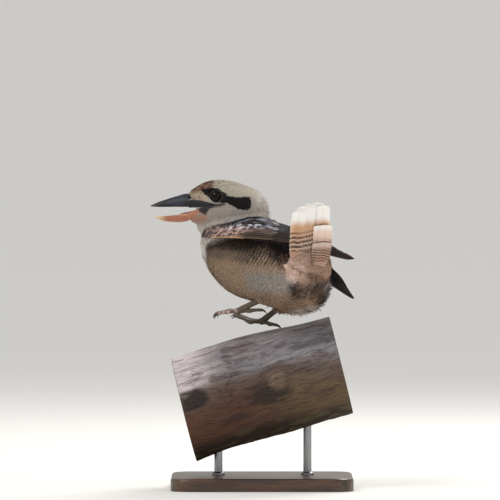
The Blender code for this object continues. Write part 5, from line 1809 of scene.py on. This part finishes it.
@dataclass(frozen=True)
class Eyes:
    """Two dark wet eyes, each with a bare wrinkled rim."""

    radius: float = 0.0084
    cornea: float = 0.0004
    lid_radius: float = 0.0066
    lid_tube: float = 0.00105
    lid_out: float = 0.0238

    def build(self) -> None:
        """Both eyes and both rims."""
        glass = GroundFinish("eye_wet", 0.10, 500.0, 0.05, 0.0, 0.0001, specular=0.16).material()
        lid = GroundFinish("lid_skin", 0.55, 1500.0, 0.3, 0.4).material()
        for side in Side:
            self.ball(side, glass)
            self.rim(side, lid)

    def circle(self, way: Sequence[float], v: Array, wide: float = 1.0) -> tuple[Array, Array]:
        """An axis of length one, and the points of a circle or ellipse square to it."""
        axis = unit(way)
        along = unit(np.cross(axis, UP))
        return axis, np.cos(v)[:, None] * along * wide + np.sin(v)[:, None] * np.cross(axis, along)

    def ball(self, side: Side, finish: Material) -> None:
        """A sphere with a low cornea: its radius grows by a bell of the angle from its axis.

        Args:
            side: Which eye.
            finish: Its material.
        """
        centre = np.array([EYE_AT[0], HEAD_PLANE_Y + side.sign * EYE_AT[1], EYE_AT[2]])
        polar, v = np.linspace(0.02, math.pi - 0.02, 48)[:, None, None], angles(64)
        axis, ring = self.circle([-0.12, side.sign, 0.05], v)
        radius = self.radius + self.cornea * np.exp(-((polar / 0.5) ** 2))
        rings = centre + radius * np.cos(polar) * axis + radius * np.sin(polar) * ring
        angle = np.repeat(polar.ravel(), len(v))
        grain = lattice_noise(rings.reshape(-1, 3), 0.0006, 71)
        colour = layered(
            (5, 4, 4), ((22, 15, 12), smooth(angle, 0.36, 0.40)),
            ((22, 15, 12), smooth(angle, 0.40, 0.62) * grain),
            ((14, 10, 9), smooth(angle, 0.58, 0.66)))
        turned(f"eye_ball_{side.value}", [rings], finish, colour, "eye", f"eye_{side.value}")

    def rim(self, side: Side, finish: Material) -> None:
        """A ring-shaped tube, pinched by small waves round it, its last ring joined to its first.

        Args:
            side: Which eye.
            finish: Its material.
        """
        centre = np.array([EYE_AT[0], HEAD_PLANE_Y + side.sign * self.lid_out, EYE_AT[2]])
        v, b = angles(64), angles(12)[:, None]
        axis, around = self.circle([-0.20, side.sign, 0.12], v, 1.04)
        pinch = 1 + 0.16 * np.sin(24 * v) + 0.10 * np.sin(9 * v + 1.0)
        tube = self.lid_tube * (np.cos(b) * unit(around)[:, None] + np.sin(b) * axis)
        rings = centre + self.lid_radius * around[:, None] + pinch[:, None, None] * tube
        points = rings.reshape(-1, 3)
        a = np.arange(len(points)).reshape(rings.shape[:2])
        below, sizes = np.roll(a, -1, axis=0), np.full(len(points), 4)
        corners = np.stack([a, below, np.roll(below, -1, axis=1), np.roll(a, -1, axis=1)], -1).ravel()
        ground = {"ground": spread(tone((14, 12, 12)), points.shape)}
        rim = put_mesh(f"eye_rim_{side.value}", points, turned_out(points, corners, sizes), sizes,
                       finish, ground)
        dressed(rim, "eye")


def tube_rings(path: Array, radii: Array, around: int, bump: Any = 0.0, flat: float = 1.0) -> Array:
    """Rings along a path: at each place a circle square to it, its radius grown by a bump.

    Args:
        path: Places along the tube.
        radii: Its radius at each.
        around: Points on a ring.
        bump: What is added to the radius, rows by points.
        flat: Height of a ring as a share of its width.

    Returns:
        Rings of points.
    """
    way, v = unit(np.gradient(path, axis=0)), angles(around)
    side = unit(np.cross(way, UP + 1e-3))
    reach, top = radii[:, None] + bump, np.cross(side, way)[:, None]
    rings = path[:, None] + (reach * np.cos(v))[..., None] * side[:, None]
    return rings + (flat * reach * np.sin(v))[..., None] * top


# Legs: hip, heel and ankle, and then the last joint and the end of each toe.
TOES = ("inner", "middle", "outer", "hind")
LEGS = {
    Side.LEFT: knots(
        0.0100, -0.0280, 0.2230, -0.0020, -0.0230, 0.2080, -0.0270, -0.0110, 0.1945,
        -0.0350, -0.0010, 0.1950, -0.0450, 0.0060, 0.1930,
        -0.0360, -0.0070, 0.1948, -0.0495, -0.0020, 0.1925,
        -0.0365, -0.0120, 0.1942, -0.0480, -0.0095, 0.1920,
        -0.0150, -0.0150, 0.1955, -0.0005, -0.0185, 0.1965),
    Side.RIGHT: knots(
        0.0260, 0.0010, 0.2170, 0.0200, 0.0060, 0.1990, 0.0000, 0.0165, 0.1830,
        -0.0120, 0.0255, 0.1838, -0.0240, 0.0330, 0.1890,
        -0.0130, 0.0195, 0.1828, -0.0285, 0.0260, 0.1895,
        -0.0125, 0.0140, 0.1822, -0.0265, 0.0175, 0.1880,
        0.0080, 0.0130, 0.1803, 0.0170, 0.0090, 0.1788)}


@dataclass(frozen=True)
class Leg:
    """A bare scaled shank, a foot of four padded toes, and a claw on each."""

    side: Side
    shank_radius: float = 0.0033
    toe_radius: float = 0.0026
    claw_length: float = 0.0090
    claw_bend: float = math.radians(75)

    def scales(self, t: Array, v: Array, count: float) -> Array:
        """Overlapping plates on the upper side, small beads beneath: a saw of the place along
        the tube, weighted by which way a point faces."""
        saw, up = (t[:, None] * count) % 1.0, np.sin(v)
        beads = np.sin(t[:, None] * count * 2.6 * math.pi) * np.sin(9 * v) * smooth(-up, -0.2, 0.5)
        return 0.00022 * (saw**0.6 - 0.5) * smooth(up, -0.2, 0.5) + 0.00006 * beads

    def build(self, skin: Material, horn: Material) -> None:
        """The shank, the foot and its claws.

        Args:
            skin: The material of shank and foot.
            horn: The claws' material.
        """
        name, far = self.side.value, self.side is Side.RIGHT
        heel, ankle = LEGS[self.side][1:3]
        t, v = np.linspace(0, 1, 90), angles(32)
        radii = through([0, 0.12, 0.3, 0.6, 0.86, 1.0], [1.15, 1.12, 1.0, 0.95, 1.05, 1.0], t)
        path = heel + (ankle - heel) * (0.92 * t)[:, None]
        shank = tube_rings(path, self.shank_radius * radii, 32, self.scales(t, v, 11))
        # Painted shade: the far leg's shank at 0.75 of the near one's colour.
        ground = self.colour(shank.reshape(-1, 3)) * (0.75 if far else 1.0)
        turned(f"shank_scales_{name}", [shank], skin, ground, "leg_skin", f"shank_{name}")
        toes, claws, t, v = [], [], np.linspace(0, 1, 64), angles(24)
        shares = [0, 0.3, 0.55, 0.8, 1.0]
        pads = 0.00035 * np.sin(t * 4.5 * math.pi - 0.6)[:, None] * smooth(-np.sin(v), 0.0, 0.8)
        radii = self.toe_radius * through(shares, [1.1, 1.0, 1.08, 0.88, 0.72], t)
        bumps = self.scales(t, v, 12) + pads
        for joint, end in LEGS[self.side][3:].reshape(-1, 2, 3):
            path = [ankle, ankle * 0.4 + joint * 0.6, joint, joint * 0.5 + end * 0.5, end]
            toes.append(tube_rings(through(shares, path, t), radii, len(v), bumps, 0.86))
            claws.append(self.claw(joint, end))
        t = np.linspace(0.0, math.pi, 24)
        path = ankle + np.array([0.0042, 0, 0.0010]) * np.cos(t)[:, None]
        toes.append(tube_rings(path, 0.0040 * np.sin(t) + 1e-5, 24))
        points = np.concatenate([rings.reshape(-1, 3) for rings in toes])
        # Painted highlights: pale pinkish patches on the near foot's front toes.
        toe_highlights = window((points[:, 0], -0.020, -0.034), (lattice_noise(points, 0.002, 81), 0.3, 0.6))
        ground = layered(self.colour(points), ((196, 168, 160), toe_highlights * 0.8 * (not far)))
        turned(f"foot_scales_{name}", toes, skin, ground, "leg_skin", f"foot_{name}")
        points = np.concatenate([rings.reshape(-1, 3) for rings in claws])
        worn = smooth(lattice_noise(points, 0.0012, 87), 0.5, 0.8) * 0.5
        turned(f"claws_{name}", claws, horn, layered((24, 20, 19), ((66, 56, 50), worn)), "dark_horn",
               *(f"claw_{toe}_{name}" for toe in TOES))

    def colour(self, points: Array) -> Array:
        """Olive grey, mottled browner and darker by noise."""
        return layered((76, 70, 55), ((92, 72, 52), lattice_noise(points, 0.0025, 83) * 0.7),
                       ((70, 62, 50), smooth(lattice_noise(points, 0.0009, 85), 0.55, 0.8) * 0.4))

    def claw(self, joint: Array, end: Array) -> Array:
        """A claw: an arc of a circle that carries on the toe's line and tapers to a point."""
        way = unit(end - joint)
        down = np.cross(way, unit(np.cross(way, UP)))
        down = -down if down[2] > 0 else down
        t = np.linspace(0.0, 1.0, 28)
        bend, radius = (self.claw_bend * t)[:, None], self.claw_length / self.claw_bend
        path = end - way * 0.0012 + radius * (np.sin(bend) * way + (1 - np.cos(bend)) * down)
        return tube_rings(path, 0.0014 * (1 - t) ** 0.8 + 0.00012, 16, 0.0, 1.1)


@dataclass(frozen=True)
class Perch:
    """A cut length of weathered branch: long grain, cracks, a knot, and sawn ends.

    A knot has a place along, an angle and a size; a stain a place along, an angle, its two
    half sizes and a depth.
    """

    length: float = 0.180
    radius_low: float = 0.0600
    radius_high: float = 0.0570
    bark_radius: float = 0.058
    grain_radius: float = 0.06
    grain_squeeze: float = 0.10
    droop: float = 0.0060
    knots: tuple[tuple[float, ...], ...] = (
        (0.60, 3.08, 0.013), (0.22, 1.9, 0.009), (0.72, 5.6, 0.012))
    stains: tuple[tuple[float, ...], ...] = (
        (0.52, 3.25, 0.026, 0.013, 0.85), (0.07, 3.0, 0.018, 0.010, 0.95),
        (0.30, 3.60, 0.016, 0.005, 0.6), (0.86, 2.5, 0.024, 0.004, 0.5),
        (0.30, 2.75, 0.020, 0.004, 0.5), (0.40, 0.4, 0.025, 0.010, 0.6),
        (0.75, 5.9, 0.016, 0.009, 0.7))

    def surface(self, t: Array, v: Array, share: Array) -> tuple[Array, Array]:
        """The branch at t along it and v round it, at a share of its radius.

        The radius is the solid's own, with its slow waves, less a relief that noise stretched
        along the grain gives: ridges, grooves and long cracks.

        Args:
            t: Place along, 0 to 1.
            v: Angle round.
            share: 1 on the bark, less on the sawn ends.

        Returns:
            Points, and the relief at each in metres.
        """
        along = np.array([math.cos(PERCH_SLOPE), 0.0, math.sin(PERCH_SLOPE)])
        top = np.array([-along[2], 0.0, along[0]])
        radius = between(self.radius_low, self.radius_high, t)
        wave = (0.0010 * np.sin(3 * v + 2.0 * t) + 0.0008 * np.sin(5 * v - 5.0 * t + 1.0)
                + 0.0006 * np.sin(9.0 * t + 2 * v) - 0.0008)
        grain, knots = self.grain(t, v)
        crack = np.abs(lattice_noise(grain * [1.6, 1, 1], 0.0060, 95) - 0.5)
        where = lattice_noise(grain * [3.0, 1, 1], 0.03, 97)
        crack = window((crack, 0.020, 0.0), (where, 0.50, 0.66))
        broad = rough_noise(grain * [2.0, 1, 1], 0.0120, 2, 93)
        relief = 0.0010 * knots - 0.0005 * rough_noise(grain, 0.0016, 3, 91) - 0.0007 * broad
        ragged = smooth(-np.sin(v), 0.50, 0.90) * rough_noise(grain * [5.0, 1, 1], 0.005, 3, 99)
        relief = relief - 0.0013 * crack - 0.0016 * ragged
        reach = (radius + wave + relief * smooth(share, 0.90, 1.0)) * share
        middle = PERCH_CENTRE + along * (self.length * (t - 0.5))[..., None]
        middle = middle - top * (self.droop * np.clip(1 - t / 0.6, 0, 1) ** 2)[..., None]
        ring = (reach * np.cos(v))[..., None] * np.array([0, 1.0, 0])
        return middle + (ring + (reach * np.sin(v))[..., None] * top), relief

    def off(self, v: Array, at: float) -> Array:
        """How far round angles are from one angle, either way."""
        return np.angle(np.exp(1j * (v - at)))

    def grain(self, t: Array, v: Array) -> tuple[Array, Array]:
        """Where noise is read so that it runs along the grain, and how near a knot a place is.

        The angle is drawn towards a knot's own by a bell of the distance to it, so lines of
        grain part and close round it, and all of it sways in one slow wave.

        Args:
            t: Place along, 0 to 1.
            v: Angle round.

        Returns:
            Places for noise, and nearness from 0 to 1.
        """
        sway = 0.030 * np.sin(13.0 * t + 2 * v) + 0.012 * np.sin(31.0 * t + 5 * v)
        turn, near = v + 0.060 * np.sin(5.0 * t + v) + sway, np.zeros(t.shape)
        for along, round_it, size in self.knots:
            off = self.off(v, round_it)
            far = ((t - along) * self.length) ** 2 + (off * self.bark_radius) ** 2
            bell = np.exp(-far / size**2)
            turn = turn - 0.85 * off * bell
            near = np.maximum(near, bell)
        run = self.length * self.grain_squeeze
        ring = [self.grain_radius * np.cos(turn), self.grain_radius * np.sin(turn)]
        return np.stack([t * run, *ring], axis=-1), near

    def colour(self, t: Array, v: Array, relief: Array) -> Array:
        """Grey and purplish above, reddish brown to tan below, dark stains, and a dark rough
        underside. The lighter top and the darker lower half and underside are partly the wood's own
        weathering and partly painted light and shade; the top towards the left end carries a painted
        highlight, and the deep grooves painted shade.

        Args:
            t: Place along, 0 to 1.
            v: Angle round.
            relief: The relief there, in metres.

        Returns:
            Colours.
        """
        grain, knots = self.grain(t, v)
        streak = rough_noise(grain, 0.0036, 3, 101)
        broad = rough_noise(grain * [3, 1, 1], 0.030, 3, 105) - 0.5
        mottle = rough_noise(grain * [5, 1, 1], 0.010, 3, 107)
        height, stains = np.sin(v) + 0.7 * broad, []
        for along, round_it, long, wide, depth in self.stains:
            off = self.off(v, round_it) * self.bark_radius
            far = np.sqrt(((t - along) * self.length / long) ** 2 + (off / wide) ** 2)
            far = far + 2.6 * (0.5 * (mottle + streak) - 0.5)
            stains.append(((50, 43, 41), smooth(far, 1.25, 0.55) * depth))
        low = layered((92, 62, 46), ((104, 86, 62), smooth(t, 0.35, 0.75)))
        under = layered((50, 40, 34), ((84, 78, 56), smooth(mottle, 0.48, 0.62)))
        return 0.92 * layered(
            # Lighter grey on top, darker and browner low down, darkest underneath: partly the wood's
            # own weathering and bark, partly painted light from above and painted shade below.
            (98, 82, 74), ((134, 130, 134), smooth(height, 0.05, 0.60)),
            ((118, 112, 116), smooth(height, 0.60, 0.90) * 0.6),
            # Painted highlight on the top towards the left end.
            ((224, 212, 214), window((t + 0.3 * broad, 0.40, 0.0), (height, 0.05, 0.5)) * 0.85),
            (low, smooth(height, 0.15, -0.35) * 0.9),
            ((72, 60, 58), smooth(streak, 0.54, 0.70) * 0.40),
            ((176, 166, 160), window((streak, 0.42, 0.28), (height, -0.2, 0.3)) * 0.30),
            ((82, 62, 54), smooth(mottle, 0.56, 0.68) * 0.5),
            *stains,
            ((150, 128, 110), smooth(knots, 0.3, 0.8) * 0.35),
            # Painted shade in the deepest grooves and cracks.
            ((34, 26, 24), smooth(relief, -0.0016, -0.0026) * 0.85),
            (under, smooth(np.sin(v) + 0.25 * broad, -0.62, -0.86) * 0.85))

    def build(self) -> None:
        """The branch as one closed grid: out over one end, along the bark, in over the other."""
        caps, rows = 10, 250
        ends = np.linspace(0.01, 0.985, caps) ** 0.8
        share = np.concatenate([ends, [0.9965], np.ones(rows), [0.9965], ends[::-1]])
        inner = np.linspace(0.004, 0.996, rows)
        t = np.concatenate([np.zeros(caps), [0.0012], inner, [0.9988], np.ones(caps)])
        t, v = np.meshgrid(t, angles(300), indexing="ij")
        share = spread(share[:, None], t.shape)
        rings, relief = self.surface(t, v, share)
        ray = np.abs(np.sin(2.5 * v + 0.3 * np.sin(9 * share)))
        crack = window((ray, 0.10, 0.0), (share, 0.25, 0.7))
        points, corners, sizes = joined([rings])
        marks = {"ground": self.colour(t, v, relief), "bars": self.grain(t, v)[0],
                 "vane": np.stack([smooth(share, 0.9990, 0.9960), crack, 0.0 * t], axis=-1)}
        dressed(put_mesh("branch", points, corners, sizes, BranchFinish().material(), marks),
                "branch_wood", "perch")


@dataclass(frozen=True)
class Stand:
    """The wooden base and two steel rods with collars."""

    rods: tuple[tuple[str, float], ...] = (("stand_rod_low", -0.048), ("stand_rod_high", 0.050))
    profile: Pairs = ((0.0, 0.0072), (0.0018, 0.0072), (0.0026, 0.0064), (0.0034, 0.0046))
    radius: float = 0.0045

    def build(self) -> None:
        """Dresses the base where it stands and turns rods with a collar at each foot."""
        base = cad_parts["stand_base"]
        base.data.materials.clear()
        base.data.materials.append(GrainFinish().material())
        steel, v = SteelFinish().material(), angles(48)
        ring = np.stack([np.cos(v), np.sin(v), 0.0 * v], axis=-1)
        for name, x in self.rods:
            low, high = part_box(name)
            steps = [(low.z + h, r) for h, r in self.profile] + [(high.z + 0.0012, self.radius)]
            rings = np.array([[x, PERCH_CENTRE[1], h] + ring * r for h, r in steps])
            rod = turned(f"{name}_turned", [rings], steel, None, "stand_steel", name)
            rod.data.set_sharp_from_angle(angle=math.radians(35))


@dataclass(frozen=True)
class Studio:
    """A pale floor that curves up behind, soft lights, and the camera at the photo's framing."""

    aim: tuple[float, float, float] = (-0.0132, 0.0, 0.2618)
    distance: float = 6.0
    elevation: float = math.radians(1.0)
    width: float = 0.550

    def floor(self) -> None:
        """A wide shallow bowl: level out to 10 m, then a quarter circle up to a low wall."""
        turn, v = np.linspace(0, math.pi / 2, 16), angles(96)
        radius = np.concatenate([[0.02, 5.0], 10 + 4 * np.sin(turn), [14.0]])[:, None]
        height = np.concatenate([[0.0, 0.0], 4 * (1 - np.cos(turn)), [9.0]])[:, None] - 0.0004
        rings = np.stack([radius * np.cos(v), radius * np.sin(v), height + 0.0 * v], axis=-1)
        corners, sizes = tube_faces(len(radius), len(v))
        finish = Nodes("pale_floor").shade({
            "Base Color": tone((214, 213, 210)), "Roughness": 0.9,
            "Emission Color": tone((255, 252, 248)), "Emission Strength": 0.22})
        open_corners = corners[:-len(v)][::-1]
        put_mesh("floor", rings.reshape(-1, 3), open_corners, sizes[:-1][::-1], finish)

    def looking(self, name: str, data: Any, at: Vector, to: Vector) -> Object:
        """A lamp or camera at one place, turned towards another."""
        obj = bpy.data.objects.new(name, data)
        obj.location, obj.rotation_mode = at, "QUATERNION"
        obj.rotation_quaternion = to.to_track_quat("-Z", "Y")
        bpy.context.scene.collection.objects.link(obj)
        return obj

    def light(self, name: str, at: Sequence[float], power: float, size: float, colour: Rgb) -> None:
        """An area light that looks at the bird."""
        lamp = bpy.data.lights.new(name, "AREA")
        lamp.energy, lamp.size, lamp.color = power, size, colour
        self.looking(name, lamp, Vector(at), Vector(self.aim) - Vector(at))

    def build(self) -> None:
        """Floor, lights, sky and camera."""
        self.floor()
        self.light("key", (-1.3, -1.3, 2.2), 31.0, 1.1, (1.0, 0.97, 0.93))
        self.light("fill", (1.8, -1.5, 0.9), 6.0, 1.8, (0.93, 0.96, 1.0))
        self.light("rim", (0.6, 1.1, 1.6), 24.0, 0.9, (1.0, 0.98, 0.95))
        scene, world = bpy.context.scene, bpy.data.worlds.new("studio")
        world.use_nodes = True
        back = world.node_tree.nodes["Background"]
        back.inputs["Color"].default_value = (0.93, 0.94, 0.96, 1.0)
        back.inputs["Strength"].default_value = 0.54
        scene.world = world
        camera = bpy.data.cameras.new("camera")
        camera.sensor_width = 36.0
        camera.lens = 36.0 * self.distance / self.width
        camera.clip_start, camera.clip_end = 0.1, 60.0
        way = Vector((0.0, -math.cos(self.elevation), math.sin(self.elevation)))
        scene.camera = self.looking("camera", camera, Vector(self.aim) + way * self.distance, -way)
        scene.view_settings.view_transform = "Standard"


def node_tree_of(*names: str) -> BVHTree:
    """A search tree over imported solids."""
    points, faces = [], []
    for name in names:
        p, f = solid(name)
        faces += (f + len(points)).tolist()
        points += p.tolist()
    return BVHTree.FromPolygons(points, faces)


def main() -> None:
    """Builds every piece in order."""
    logging.basicConfig(level=logging.INFO, format="%(name)s: %(message)s")
    flesh, tail = Flesh(), Tail()
    outer = flesh.outer([tail.cone(), flesh.throat()])
    flesh.build(outer)
    Coat(outer, flesh, node_tree_of("bill_upper", "bill_lower")).build()
    long_feather = PlumageFinish("long_feather", 0.66, 0.02, barbs_across=16.0, grain=0.28).material()
    under_skin = GroundFinish("wing_skin", 0.85, 900.0, 0.25, 0.3).material()
    for side in Side:
        Wing(side).build(long_feather, under_skin)
    tail.build(long_feather)
    Bill().build(outer)
    Eyes().build()
    leg_skin = GroundFinish("leg_scales", 0.55, 1400.0, 0.22, 0.35).material()
    claw_horn = GroundFinish("claw_horn", 0.25, 900.0, 0.15, 0.1, 0.0002, coat=0.4).material()
    for side in Side:
        Leg(side).build(leg_skin, claw_horn)
    Perch().build()
    Stand().build()
    Studio().build()
    bpy.context.view_layer.update()


if __name__ == "__main__":
    main()
